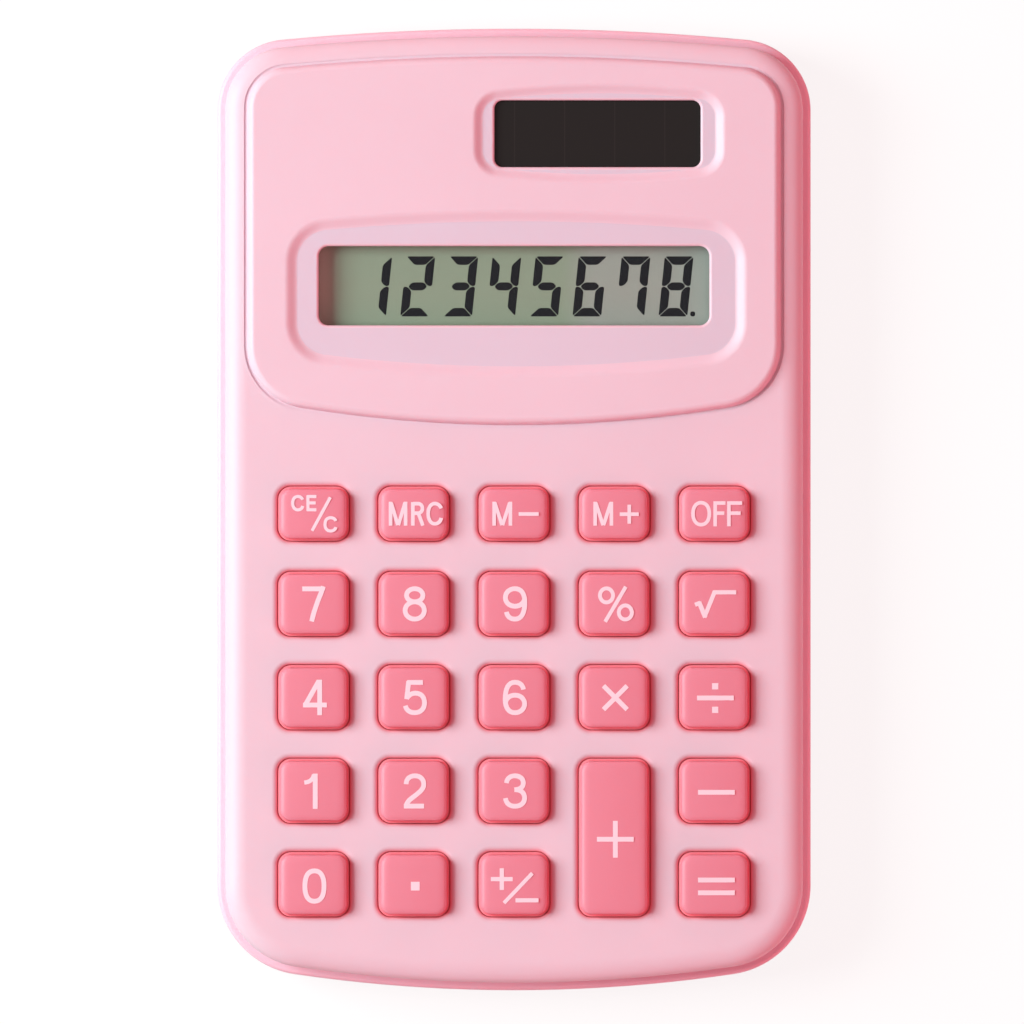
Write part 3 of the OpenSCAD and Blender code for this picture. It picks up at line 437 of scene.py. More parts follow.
# What each CAD node that stays is made of: clear glass sheets, dull foils and foam, glossy
# wire jackets, lacquered board, milky silicone, and bright metals with fine lines
STOCK = {
    "display_lens": clear_acrylic(),
    "lcd_polariser": display_film(),
    "lcd_front_glass": moulded("soda_glass", "#DDE8E2", 0.05, depth=0, tone=0.01, Alpha=0.25),
    "lcd_rear_glass": moulded("rear_soda_glass", "#D4E2DA", 0.05, depth=0, tone=0.01, Alpha=0.3),
    "lcd_reflector": moulded("reflector_foil", "#B9BDAE", 0.3, depth=0.002, Metallic=0.6),
    "lcd_foam_strip": moulded("polyurethane_foam", "#5C5C60", 0.95, grain=0.35, depth=0.08,
                              tone=0.2),
    "zebra_strip": striped_rubber(),
    "solar_cell": silicon_cell(),
    "solar_wire_red": moulded("red_pvc", "#C4262B", 0.4),
    "solar_wire_black": moulded("black_pvc", "#1D1D1F", 0.4),
    "circuit_board": moulded("green_laminate", "#2E6B3C", 0.35, grain=0.4, depth=0.004,
                             tone=0.08),
    "key_contacts": moulded("carbon_ink", "#232325", 0.7, grain=0.1, depth=0.002),
    "chip_blob": moulded("black_epoxy", "#161618", 0.22, grain=1.2, depth=0.01, tone=0.1),
    "capacitor": moulded("blue_sleeve", "#2E5FA8", 0.35),
    "resistor": banded_resin(),
    "dome_mat": moulded("silicone_rubber", "#E9E7E2", 0.55, Subsurface_Weight=0.5,
                        Subsurface_Radius=(1, 1, 0.9), Subsurface_Scale=1.5 * MM),
    "battery_cell": worked_metal("nickel_steel", "#C9C7C2", 0.30, 0.12),
    "battery_contact_positive": worked_metal("spring_steel", "#BEBBB4", 0.35, 0.1),
    "battery_contact_negative": worked_metal("spring_steel_leaf", "#BEBBB4", 0.35, 0.1),
    "battery_wire_red": moulded("red_pvc_lead", "#C4262B", 0.4),
    "battery_wire_black": moulded("black_pvc_lead", "#1D1D1F", 0.4),
    "case_screws": worked_metal("nickelled_screw_steel", "#A9A7A4", 0.32, 0.08),
    "board_screws": worked_metal("zinc_screw_steel", "#B3B2AE", 0.35, 0.08),
}
for name, paint in STOCK.items():
    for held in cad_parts[name].material_slots:
        held.material = paint

# ---------------------------------------- outlines


LEAST_R = 0.5             # smallest corner that an inset leaves


def circle(x, y, r):
    """Outline of one whole arc."""
    return [(x, y, r, 0, 2 * pi)]


def rounded(x, y, w, l, r):
    """Rectangle with round corners about (x, y)."""
    a, b = w / 2 - r, l / 2 - r
    return [(x + a, y + b, r, 0, pi / 2), (x - a, y + b, r, pi / 2, pi / 2),
            (x - a, y - b, r, pi, pi / 2), (x + a, y - b, r, 3 * pi / 2, pi / 2)]


def bowed_end(half_w, end_y, bow_r, corner_r):
    """Right corner, bow and left corner of an end at +Y."""
    x, bow_y = half_w - corner_r, end_y - bow_r
    y = bow_y + sqrt((bow_r - corner_r) ** 2 - x * x)
    a = atan2(y - bow_y, x)
    return [(x, y, corner_r, 0, a), (0, bow_y, bow_r, a, pi - 2 * a),
            (-x, y, corner_r, pi - a, a)]


def bowed(w, high_y, low_y, high_bow, low_bow, high_r, low_r, inset=0, at=(0, 0)):
    """Outline with straight sides and bowed ends, moved inwards by inset."""
    half_w = w / 2 - inset
    top = bowed_end(half_w, high_y - inset, high_bow - inset, max(high_r - inset, LEAST_R))
    low = bowed_end(half_w, -low_y - inset, low_bow - inset, max(low_r - inset, LEAST_R))
    arcs = top + [(-x, -y, r, start + pi, turn) for x, y, r, start, turn in low]
    return [(x + at[0], y + at[1], r, start, turn) for x, y, r, start, turn in arcs]


def case_line(inset):
    """Outer line of the case."""
    return bowed(BODY_W, TOP_Y, BOTTOM_Y, TOP_BOW_R, BOTTOM_BOW_R, TOP_CORNER_R,
                 BOTTOM_CORNER_R, inset)


def panel_line(inset):
    """Edge of the raised panel that carries the display."""
    side, end, length, low_bow, low_corner = 3.65, 3.45, 44.1, 158, 7.6
    return bowed(BODY_W - 2 * side, TOP_Y - end, TOP_Y - end - length, TOP_BOW_R - end, low_bow,
                 TOP_CORNER_R - side, low_corner, inset)


def dish_line(inset):
    """Rim of the dish round the display."""
    w, above, below, corner, shift = 55.4, 9.15, 11.1, 5.3, 0.25
    return bowed(w, DISPLAY.y + above, DISPLAY.y - below, 254, 190, corner, corner, inset,
                 (shift, 0))


def solar_dish_line(inset):
    """Rim of the dish round the solar cell."""
    w, half_l, bow, corner, shift = 30.3, 6.05, 110, 3.4, 0.17
    return bowed(w, half_l, -half_l, bow, bow, corner, corner, inset, (SOLAR.x + shift, SOLAR.y))


def bar_line(x, y, r, w, turn):
    """Bar across a circle: two arcs of the circle, w apart at their ends, turned by turn."""
    a = asin(w / 2 / r)
    return [(x, y, r, turn - a, 2 * a), (x, y, r, turn + pi - a, 2 * a)]


# ---------------------------------------- edge profiles


def soft_edge(w, h, steps=ROUND_STEPS):
    """Convex round from an upright wall to a level face, w across and h high."""
    turns = [pi / 2 * i / steps for i in range(steps + 1)]
    return [(w * (cos(a) - cos(b)), h * (sin(b) - sin(a))) for a, b in zip(turns, turns[1:])]


def fillet(w, h, steps=4):
    """Concave round from a level face to an upright wall, w across and h high. On a cutter it
    leaves a convex round where the hole meets the face."""
    return soft_edge(w, h, steps)[::-1]


def crest(r, slope, steps=ROUND_STEPS):
    """Convex round of radius r from a wall at a slope, in degrees, to a level face."""
    turns = [radians(slope) * (1 - i / steps) for i in range(steps + 1)]
    return [(r * (sin(a) - sin(b)), r * (cos(b) - cos(a))) for a, b in zip(turns, turns[1:])]


def easy_slope(w, h, steps=10):
    """Slope that leaves one level face and meets another without a crease."""
    parts = [(1 - cos(pi * i / steps)) / 2 for i in range(steps + 1)]
    return [(w / steps, h * (b - a)) for a, b in zip(parts, parts[1:])]


# ---------------------------------------- solids


def outline(bm, arcs, z):
    """Level face at height z inside a ring of arcs."""
    old, ends = set(bm.verts), []
    for x, y, r, start, turn in arcs:
        first = bm.verts.new((x + r * cos(start), y + r * sin(start), z))
        steps = max(2, ceil(abs(turn) / (2 * acos(1 - min(0.9, ARC_ERROR / r)))))
        spun = bmesh.ops.spin(bm, geom=[first], cent=(x, y, z), axis=(0, 0, 1), angle=turn,
                              steps=steps, use_merge=False, use_duplicate=False)
        ends.append((first, spun["geom_last"][0]))
    for (_, last), (first, _) in zip(ends, ends[1:] + ends[:1]):
        bm.edges.new((last, first))
    bmesh.ops.remove_doubles(bm, verts=[v for v in bm.verts if v not in old], dist=JOIN)
    edges = {edge for v in bm.verts if v not in old for edge in v.link_edges}
    return bmesh.ops.contextual_create(bm, geom=list(edges))["faces"][0]


def block(bm, arcs, start, end, far=(), near=()):
    """Solid over an outline between two heights, with edge profiles at its end and its start."""
    base = outline(bm, arcs, start)
    grown = bmesh.ops.extrude_face_region(bm, geom=[base])["geom"]
    top = next(g for g in grown if isinstance(g, bmesh.types.BMFace))
    bmesh.ops.translate(bm, verts=top.verts, vec=(0, 0, end - start))
    walls = {face for v in top.verts for face in v.link_faces}
    bmesh.ops.recalc_face_normals(bm, faces=[base, *walls])
    for face, profile in ((top, far), (base, near)):
        for inward, onward in profile:
            bmesh.ops.inset_region(bm, faces=[face], thickness=inward, depth=onward,
                                   use_boundary=True, use_even_offset=True)


def solid(*blocks):
    """Object in millimetres made of blocks, each given by block's arguments."""
    bm = bmesh.new()
    for given in blocks:
        block(bm, *given)
    return from_bmesh(bm)


def from_bmesh(bm):
    """Object that holds a bmesh, which is freed."""
    mesh = bpy.data.meshes.new("part")
    bm.to_mesh(mesh)
    bm.free()
    made = bpy.data.objects.new("part", mesh)
    bpy.context.scene.collection.objects.link(made)
    return made


def settled(obj):
    """The object with its modifiers made part of its mesh."""
    bpy.context.view_layer.update()
    worked = obj.evaluated_get(bpy.context.evaluated_depsgraph_get())
    mesh = bpy.data.meshes.new_from_object(worked)
    obj.modifiers.clear()
    old, obj.data = obj.data, mesh
    bpy.data.meshes.remove(old)
    return obj


def combine(target, operation, *blocks):
    """Joins blocks to a solid with UNION, or takes them away with DIFFERENCE."""
    return merge(target, solid(*blocks), operation)


def merge(target, tool, operation="UNION"):
    """Works one solid with another, which is used up."""
    work = target.modifiers.new("work", "BOOLEAN")
    work.operation, work.solver, work.object = operation, "MANIFOLD", tool
    settled(target)
    bpy.data.objects.remove(tool)
    return target


def piece(obj, name, body, paints, slot=None, *stands_for, sharp=28):
    """Finishes a solid as a piece of the calculator: metres, shading, paint and body."""
    mesh = obj.data
    mesh.transform(Matrix.Scale(MM, 4))
    obj.name = mesh.name = name
    mesh.materials.clear()
    for paint in paints:
        mesh.materials.append(paint)
    mesh.shade_smooth()
    mesh.set_sharp_from_angle(angle=radians(sharp))
    even = obj.modifiers.new("even_normals", "WEIGHTED_NORMAL")
    even.keep_sharp = True
    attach(obj, body)
    if stands_for:
        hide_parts(*stands_for)
    return obj


# ---------------------------------------- case


def key_spans():
    """Each key's name, middle, width and length, without its flange."""
    for name in KEYS:
        low, high = span(name)
        w, l = high.x - low.x - 2 * FLANGE_W, high.y - low.y - 2 * FLANGE_W
        yield name, (low + high) / 2, w, l


CASE_BOSS_R, CASE_BOSS_Z, BOARD_BOSS_R = 2.4, 4.9, 1.7     # screw bosses under the face
CASE_PILOT_R, CASE_PILOT_Z, BOARD_PILOT_R, PILOT_TOP_Z = 0.85, 4.4, 0.75, 8.9
PANEL_FOOT = 0.05                    # the panel is drawn this much wide of its own line
GROOVE_W, GROOVE_H = 0.38, 0.16      # shallow groove round the panel
WINDOW_RIM = 0.3                     # round at the windows' edges
MOUTH, MOUTH_LIP = 0.75, 0.5         # rounded mouth of a key opening, across and down
REACH = KEY_GAP + MOUTH
LEVEL, NEAR = 0.99, 0.02             # for picking faces: how level, and how near in height


def pocket(frame_size):
    """Width and length inside a frame."""
    return [side - 2 * FRAME_WALL for side in frame_size]


def upper_shell():
    """Keypad face, display panel and what is moulded inside them."""
    edge_w, edge_h = 2.6, 1.6
    shell = solid((case_line(1.0), SEAM_Z, FACE_Z - edge_h, soft_edge(edge_w, edge_h, 14)))
    combine(shell, "DIFFERENCE", (panel_line(-GROOVE_W), FACE_Z + CLEAR, FACE_Z - GROOVE_H))
    panel = [(PANEL_FOOT, GROOVE_H), (0.16, 0.474), *crest(0.8, 70)]
    combine(shell, "UNION", (panel_line(-PANEL_FOOT), FACE_Z - 1, FACE_Z - GROOVE_H, panel))
    combine(shell, "UNION", (case_line(1.9), SEAM_Z - LIP_H, SEAM_Z + 1))
    lean = [(0.58, 1.44), (0.96, 0.48)]
    combine(shell, "DIFFERENCE", (case_line(2.6), SEAM_Z - LIP_H - CLEAR, CEILING_Z - 1.92, lean))
    combine(shell, "DIFFERENCE", (panel_line(1.8), CEILING_Z - CLEAR, LENS_TOP_Z))
    held = CEILING_Z + BOSS_BITE
    bosses = [(circle(x, y, CASE_BOSS_R), CASE_BOSS_Z, held) for x, y in CASE_SCREWS]
    bosses += [(circle(x, y, BOARD_BOSS_R), BOARD_TOP_Z, held) for x, y in BOARD_SCREWS]
    frame_top, frame_r, pocket_r = LENS_TOP_Z + BOSS_BITE, 0.4, 0.2
    frames = [(rounded(0, DISPLAY.y, *LENS_FRAME, frame_r), BOARD_TOP_Z + 0.1, frame_top),
              (rounded(SOLAR.x, SOLAR.y, *CELL_FRAME, frame_r), LENS_TOP_Z - 0.7, frame_top)]
    combine(shell, "UNION", *bosses, *frames)
    combine(shell, "DIFFERENCE",
            (rounded(0, DISPLAY.y, *pocket(LENS_FRAME), pocket_r), BOARD_TOP_Z - CLEAR,
             LENS_TOP_Z),
            (rounded(SOLAR.x, SOLAR.y, *pocket(CELL_FRAME), pocket_r), LENS_TOP_Z - 1.2,
             DISH_Z - 0.5))
    combine(shell, "DIFFERENCE",
            (dish_line(0), PANEL_Z + CLEAR, PANEL_Z, easy_slope(1.6, PANEL_Z - DISH_Z)),
            (solar_dish_line(0), PANEL_Z + CLEAR, PANEL_Z, easy_slope(1.35, PANEL_Z - DISH_Z)))
    windows = []
    for x, y, w, l, r, depth in ((0, DISPLAY.y, 46.8, 9.5, 1.2, 2.0),
                                 (SOLAR.x, SOLAR.y, 24.7, 8, 1.0, 0.8)):
        windows.append((rounded(x, y, w + 2 * WINDOW_RIM, l + 2 * WINDOW_RIM, r + WINDOW_RIM),
                        DISH_Z + WINDOW_RIM, DISH_Z, [*fillet(WINDOW_RIM, WINDOW_RIM), (0, depth)]))
    openings = [(rounded(at.x, at.y, w + 2 * REACH, l + 2 * REACH, KEY_CORNER_R + REACH),
                 FACE_Z + CLEAR, FACE_Z, [*fillet(MOUTH, MOUTH_LIP), (0, 2.2)])
                for _, at, w, l in key_spans()]
    pilots = [(circle(x, y, CASE_PILOT_R), CASE_PILOT_Z, PILOT_TOP_Z) for x, y in CASE_SCREWS]
    pilots += [(circle(x, y, BOARD_PILOT_R), BOARD_TOP_Z - CLEAR, PILOT_TOP_Z)
               for x, y in BOARD_SCREWS]
    combine(shell, "DIFFERENCE", *windows, *openings, *pilots)
    piece(shell, "upper_shell", "case", [PINK, PINK_DISH_REFLECTION, PINK_PAINTED_GLOW], "upper_shell",
          "upper_case")
    paint_openings(shell.data)


def paint_openings(mesh):
    """Gives the dish floors their painted lilac reflection, and the key openings' mouths their
    painted coral glow and shade.
    """
    openings = [(at, w / 2 + REACH, l / 2 + REACH) for _, at, w, l in key_spans()]
    for polygon in mesh.polygons:
        place = polygon.center / MM
        if polygon.normal.z > LEVEL and abs(place.z - DISH_Z) < NEAR:
            polygon.material_index = 1
        elif CEILING_Z < place.z < FACE_Z - 0.01 and any(
                abs(place.x - at.x) < x + 0.01 and abs(place.y - at.y) < y + 0.01
                for at, x, y in openings):
            polygon.material_index = 2


BACK_LIP = 0.15                      # round at the edges of holes in the back
LUG_R, LUG_W = 8.2, 5.0              # bayonet bar of the battery door
LUG_ROOM = 0.15


def lower_shell():
    """Back, side walls and ledge, the battery cup, screw bosses and ribs under the board."""
    back_r, ledge_r = 2.5, 0.5
    shell = solid((case_line(0), BACK_Z + back_r, SEAM_Z - ledge_r,
                   soft_edge(ledge_r, ledge_r), soft_edge(back_r, back_r, 10)))
    combine(shell, "DIFFERENCE", (case_line(1.8), FLOOR_Z, SEAM_Z + CLEAR))
    inside = BACK_Z + WALL / 2
    posts = [(circle(x, y, 3.1), inside, CASE_SCREW_Z + 1.2, [(0.7, 0), (0, 0.7)])
             for x, y in CASE_SCREWS]
    rib_y, rib_l = (TOP_ROW.y + LOW_ROW.y) / 2, TOP_ROW.y - LOW_ROW.y
    ribs = [(rounded(side * PITCH / 2, rib_y, 1.0, rib_l, 0.3), inside, 4.8)
            for side in (-1, 1)]
    cup = (circle(DOOR.x, DOOR.y, 9.45), inside, 4.25, [(2.45, 0), (0, 2.15)])
    combine(shell, "UNION", *posts, *ribs, cup)
    lip, outside = fillet(BACK_LIP, BACK_LIP), BACK_Z - CLEAR
    head = [*lip, (0, CASE_SCREW_Z - BACK_Z - BACK_LIP), (0.9, 0), (0, 4)]
    screw_holes = [(circle(x, y, 2.25), outside, BACK_Z, head) for x, y in CASE_SCREWS]
    seats = [(circle(x, y, FOOT_R + 0.25), outside, BACK_Z, [*lip, (0, 0.25)])
             for x, y in FOOT_AT]
    hole = (circle(DOOR.x, DOOR.y, 7.3), outside, BACK_Z, [*lip, (0, 2.0)])
    combine(shell, "DIFFERENCE", *screw_holes, *seats, hole)
    slot = bar_line(DOOR.x, DOOR.y, LUG_R + LUG_ROOM, LUG_W + 2 * LUG_ROOM, -pi / 4)
    combine(shell, "DIFFERENCE", (slot, outside, FLOOR_Z + 0.5))
    combine(shell, "DIFFERENCE", (circle(DOOR.x, DOOR.y, 8.45), FLOOR_Z, FLOOR_Z + 1.05))
    combine(shell, "DIFFERENCE", (circle(DOOR.x, DOOR.y, 6.0), FLOOR_Z, SEAM_Z + 2))
    combine(shell, "DIFFERENCE",
            (rounded(DOOR.x - 3.35, DOOR.y, 6, 3.2, 0.1), FLOOR_Z + 0.52, SEAM_Z + 2))
    piece(shell, "lower_shell", "case", [PINK_BACK], "lower_shell", "lower_case")


def battery_door():
    """Disc with a coin slot, and the bar whose ends are the bayonet lugs."""
    disc_r, edge_r, bar_top = 7.0, 0.2, FLOOR_Z + 0.85
    door = solid((circle(DOOR.x, DOOR.y, disc_r), BACK_Z + edge_r, FLOOR_Z, (),
                  soft_edge(edge_r, edge_r, 4)))
    for r, low in ((disc_r, FLOOR_Z - 0.4), (LUG_R, FLOOR_Z + 0.05)):
        combine(door, "UNION", (bar_line(DOOR.x, DOOR.y, r, LUG_W, 0), low, bar_top))
    combine(door, "DIFFERENCE", (rounded(DOOR.x, DOOR.y, 9.3, 1.6, 0.5), BACK_Z - CLEAR, BACK_Z,
                                 [*fillet(BACK_LIP, BACK_LIP), (0, 0.75)]))
    piece(door, "door", "battery_door", [PINK_BACK], "lower_shell", "battery_door")


def rubber_feet():
    """Four round pads, set into the back by their own seats."""
    edge_w, edge_h, sunk = 0.5, 0.3, 0.4
    pads = [(circle(x, y, FOOT_R), BACK_Z, FEET_LOW.z + edge_h, soft_edge(edge_w, edge_h, 5),
             [(0, sunk)])
            for x, y in FOOT_AT]
    piece(solid(*pads), "feet", "case", [RUBBER], "foot_rubber", "rubber_feet")


# ---------------------------------------- keys

KEY_DROP = (0.18, 0.07)      # how much lower a key's top is at its sides and at its ends


def key_cap(name, at, w, l):
    """Drafted cap with a crowned top, its flange, its hollow and the plunger on the dome."""
    flange_z = span(name)[0].z + PLUNGER_DROP
    bm = bmesh.new()
    top_z, draft = KEY_TOP_Z - 0.02, 0.08
    edge, brow_w, brow_h = 0.14, 0.85, 0.15
    skirt_z = FACE_Z - SKIRT_H
    rise = top_z - FACE_Z - edge - brow_h
    foot = rounded(at.x, at.y, w + 2 * FLANGE_W, l + 2 * FLANGE_W, KEY_CORNER_R + FLANGE_W)
    outside = [(FLANGE_W + KEY_INSET - KEY_SKIRT, 0), (0, skirt_z - flange_z - FLANGE_T),
               *fillet(KEY_SKIRT, SKIRT_H), (draft, rise), *soft_edge(edge, edge, 4),
               *soft_edge(brow_w, brow_h, 5)]
    hollow = [(FLANGE_W + KEY_WALL, 0), (0, -(KEY_TOP_Z - KEY_WALL - flange_z))]
    block(bm, foot, flange_z, flange_z + FLANGE_T, outside, hollow)
    crown(bm, at, w / 2 - KEY_INSET, l / 2 - KEY_INSET)
    cap = from_bmesh(bm)
    combine(cap, "UNION", (circle(at.x, at.y, PLUNGER_R), span(name)[0].z, KEY_TOP_Z - 0.9))
    piece(cap, name + "_cap", name, [CORAL, CORAL_PAINTED_GLOW], "key_plastic", name)
    # The foot of the cap takes the painted glow of light bounced in the gap
    for polygon in cap.data.polygons:
        if polygon.center.z / MM < FACE_Z + NEAR:
            polygon.material_index = 1


def crown(bm, at, half_w, half_l, cells=8):
    """Cuts the top into a grid and lowers it in a bow towards its edges."""
    for i in range(1, cells):
        share = 2 * i / cells - 1
        for place, normal in (((at.x + share * half_w, 0, 0), (1, 0, 0)),
                              ((0, at.y + share * half_l, 0), (0, 1, 0))):
            high = [f for f in bm.faces if f.calc_center_median().z > FACE_Z + 1]
            geom = {g for f in high for g in (f, *f.edges, *f.verts)}
            bmesh.ops.bisect_plane(bm, geom=list(geom), dist=1e-4, plane_co=place,
                                   plane_no=normal)
    for v in bm.verts:
        if v.co.z > FACE_Z + 0.8:
            across, along = (v.co.x - at.x) / half_w, (v.co.y - at.y) / half_l
            v.co.z -= KEY_DROP[0] * across ** 2 + KEY_DROP[1] * along ** 2


# ---------------------------------------- legends

# Widths of the strokes. A path is in millimetres about the middle of its key.
BOLD, TEXT, SMALL = 0.57, 0.43, 0.37

DIGITS = {
    "0": "M 0 1.82 C .75 1.82 1.15 1.2 1.15 0 C 1.15 -1.2 .75 -1.82 0 -1.82"
         " C -.75 -1.82 -1.15 -1.2 -1.15 0 C -1.15 1.2 -.75 1.82 0 1.82 Z",
    "2": "M -1.03 .82 C -1.03 1.45 -.62 1.82 .03 1.82 C .66 1.82 1.08 1.42 1.08 .85"
         " C 1.08 .3 .7 -.02 .2 -.42 C -.3 -.82 -.8 -1.1 -.98 -1.6 M -1.3 -1.8 L 1.12 -1.8",
    "3": "M -1.02 .95 C -.98 1.5 -.58 1.82 0 1.82 C .6 1.82 1 1.48 1 1 C 1 .48 .62 .16 -.08 .16"
         " M -.08 .16 L .1 .16 C .75 .16 1.15 -.25 1.15 -.82 C 1.15 -1.42 .68 -1.82 .02 -1.82"
         " C -.62 -1.82 -1.08 -1.48 -1.13 -.85",
    "5": "M .98 1.8 L -.9 1.8 M -.72 1.95 L -.96 -.2 M -.98 -.12 C -.72 .28 -.36 .52 .08 .52"
         " C .76 .52 1.17 .05 1.17 -.62 C 1.17 -1.36 .7 -1.82 .02 -1.82"
         " C -.6 -1.82 -1.02 -1.5 -1.12 -.98",
    "7": "M -1.46 1.8 L 1.14 1.8 M 1.06 2.1 L .98 1.8 C .72 1.1 .02 -.4 -.34 -2.1",
    "8": "M 0 1.82 C .54 1.82 .98 1.47 .98 1.035 C .98 .6 .54 .25 0 .25"
         " C -.54 .25 -.98 .6 -.98 1.035 C -.98 1.47 -.54 1.82 0 1.82 Z"
         " M 0 .25 C .64 .25 1.15 -.21 1.15 -.785 C 1.15 -1.36 .64 -1.82 0 -1.82"
         " C -.64 -1.82 -1.15 -1.36 -1.15 -.785 C -1.15 -.21 -.64 .25 0 .25 Z",
    "9": "M 1.15 .75 C 1.15 .15 .65 -.28 0 -.28 C -.68 -.28 -1.15 .18 -1.15 .75"
         " C -1.15 1.36 -.68 1.82 0 1.82"
         " M -.1 1.82 L 0 1.82 C .72 1.82 1.17 1.3 1.17 .2"
         " C 1.17 -1.1 .78 -1.82 0 -1.82 C -.55 -1.82 -.95 -1.5 -1.02 -.95",
}
LETTER_M = ("M -.9 -1.43 L -.9 1.43 M -.83 1.3 L -.02 -1.38"
            " M .02 -1.38 L .83 1.3 M .9 1.43 L .9 -1.43")
LETTER_C = ("M .82 .62 C .7 1 .4 1.21 .02 1.21 C -.5 1.21 -.85 .75 -.85 0"
            " C -.85 -.75 -.5 -1.21 .02 -1.21 C .42 -1.21 .75 -.95 .83 -.5")
LETTER_R = ("M -.55 -1.43 L -.55 1.38 M -.5 1.2 L 0 1.2 C .4 1.2 .6 .98 .6 .64"
            " C .6 .28 .38 .06 0 .06 L -.5 .06 M .1 .1 L .66 -1.43")
LETTER_O = ("M 0 1.24 C .6 1.24 .98 .75 .98 0 C .98 -.75 .6 -1.24 0 -1.24"
            " C -.6 -1.24 -.98 -.75 -.98 0 C -.98 .75 -.6 1.24 0 1.24 Z")
LETTER_F = "M -.45 -1.43 L -.45 1.4 M -.58 1.2 L .6 1.2 M -.45 .06 L .48 .06"
LETTER_E = "M .5 -1.2 L -.55 -1.2 M -.42 -1.4 L -.42 1.4 M -.55 1.2 L .5 1.2 M -.42 .04 L .42 .04"


def line(*points):
    """Path through points given as x, y, x, y and so on."""
    pairs = [f"{x} {y}" for x, y in zip(points[::2], points[1::2])]
    return "M " + " L ".join(pairs)


def rings(x, y, rx, ry):
    """Closed oval path."""
    k = 0.5523                       # handle length that bends a curve like a circle
    return (f"M {x} {y + ry} C {x + k * rx} {y + ry} {x + rx} {y + k * ry} {x + rx} {y}"
            f" C {x + rx} {y - k * ry} {x + k * rx} {y - ry} {x} {y - ry}"
            f" C {x - k * rx} {y - ry} {x - rx} {y - k * ry} {x - rx} {y}"
            f" C {x - rx} {y + k * ry} {x - k * rx} {y + ry} {x} {y + ry} Z")


# Each legend's strokes: (path, stroke width, shift x, shift y, scale x, scale y), where what
# is left out at the end is as in UNMOVED
UNMOVED = (0, 0, 1, 1)
DIGIT_SHIFT = 0.12
LEGENDS = {
    "key_0": [(DIGITS["0"], BOLD, 0.12, -0.17)],
    "key_1": [(line(0.21, -2.13, 0.21, 2.08), BOLD),
              ("M -1.1 1.02 C -.5 1.06 -.1 1.3 .06 1.95", 0.5)],
    "key_2": [(DIGITS["2"], BOLD, DIGIT_SHIFT)],
    "key_3": [(DIGITS["3"], BOLD, DIGIT_SHIFT)],
    "key_4": [(line(0.74, -2.12, 0.74, 2.12), BOLD),
              (line(0.66, 2.02, -1.02, -0.97), BOLD),
              (line(-1.25, -0.9, 1.6, -0.9), BOLD)],
    "key_5": [(DIGITS["5"], BOLD, DIGIT_SHIFT)],
    "key_6": [(DIGITS["9"], BOLD, 0.12, 0, -1, -1)],
    "key_7": [(DIGITS["7"], BOLD, DIGIT_SHIFT)],
    "key_8": [(DIGITS["8"], BOLD, DIGIT_SHIFT)],
    "key_9": [(DIGITS["9"], BOLD, DIGIT_SHIFT)],
    "key_minus": [(line(-2.2, 0, 2.2, 0), BOLD, 0.23, -0.15)],
    "key_equals": [(line(-2.2, 0.55, 2.2, 0.55), BOLD, 0.23, 0),
                   (line(-2.2, -0.98, 2.2, -0.98), BOLD, 0.23, 0)],
    "key_plus": [(line(-2.2, 0, 2.2, 0), BOLD, 0.13, -0.17),
                 (line(0, -2.2, 0, 2.2), BOLD, 0.13, -0.17)],
    "key_multiply": [(line(-1.42, -1.42, 1.42, 1.42), BOLD, 0.13, -0.02),
                     (line(-1.42, 1.42, 1.42, -1.42), BOLD, 0.13, -0.02)],
    "key_divide": [(line(-2.2, 0, 2.2, 0), BOLD, 0.11, -0.06),
                   (line(0, 0.965, 0, 1.715), 0.75, 0.08, 0),
                   (line(0, -1.855, 0, -1.105), 0.75, 0.08, 0)],
    "key_percent": [(rings(-0.93, 1.02, 0.78, 0.84), 0.46),
                    (rings(1.33, -1.02, 0.78, 0.84), 0.46),
                    (line(1.39, 2.06, -1.09, -2.14), 0.45)],
    "key_root": [(line(-2.33, -0.11, -1.7, 0.14), 0.5),
                 (line(-1.86, 0.25, -1.1, -1.62), 0.55),
                 (line(-1.22, -1.62, 0.05, 1.55), 0.5),
                 (line(-0.1, 1.39, 2.6, 1.39), 0.5)],
    "key_mrc": [(LETTER_M, TEXT, -1.87, 0), (LETTER_R, TEXT, 0.44, 0),
                (LETTER_C, TEXT, 2.52, 0, 0.93, 1)],
    "key_m_plus": [(LETTER_M, TEXT, -1.31, 0, 1.08, 1),
                   (line(-1.14, 0, 1.14, 0), TEXT, 1.8, -0.06),
                   (line(0, -1.14, 0, 1.14), TEXT, 1.8, -0.06)],
    "key_m_minus": [(LETTER_M, TEXT, -1.4, 0, 1.08, 1),
                    (line(-1.2, 0, 1.2, 0), TEXT, 1.76, -0.04)],
    "key_off": [(LETTER_O, TEXT, -1.6, 0, 1, 1.06), (LETTER_F, TEXT, 0.61, 0, 1.18, 1.06),
                (LETTER_F, TEXT, 2.4, 0, 1.5, 1.06)],
    "key_ce_c": [(LETTER_C, SMALL, -1.88, 1.26, 0.72, 0.66),
                 (LETTER_E, SMALL, -0.2, 1.26, 1.1, 0.66),
                 (line(2.02, 1.96, -0.17, -2.05), SMALL),
                 (LETTER_C, SMALL, 2.04, -1.28, 0.78, 0.66)],
    "key_sign": [(line(-1.3, 0, 1.3, 0), 0.5, -1.46, 0.66),
                 (line(0, -1.3, 0, 1.3), 0.5, -1.46, 0.66),
                 (line(2.2, 1.36, -1.2, -2.2), 0.45),
                 (line(-1.38, 0, 1.38, 0), 0.5, 1.56, -1.88)],
    "key_point": [(line(-0.52, 0, 0.52, 0), 1.04, 0.18, -0.18)],
}
INK_LOW, INK_HIGH = KEY_TOP_Z - 0.16, KEY_TOP_Z - 0.005      # from inside the cap to its top


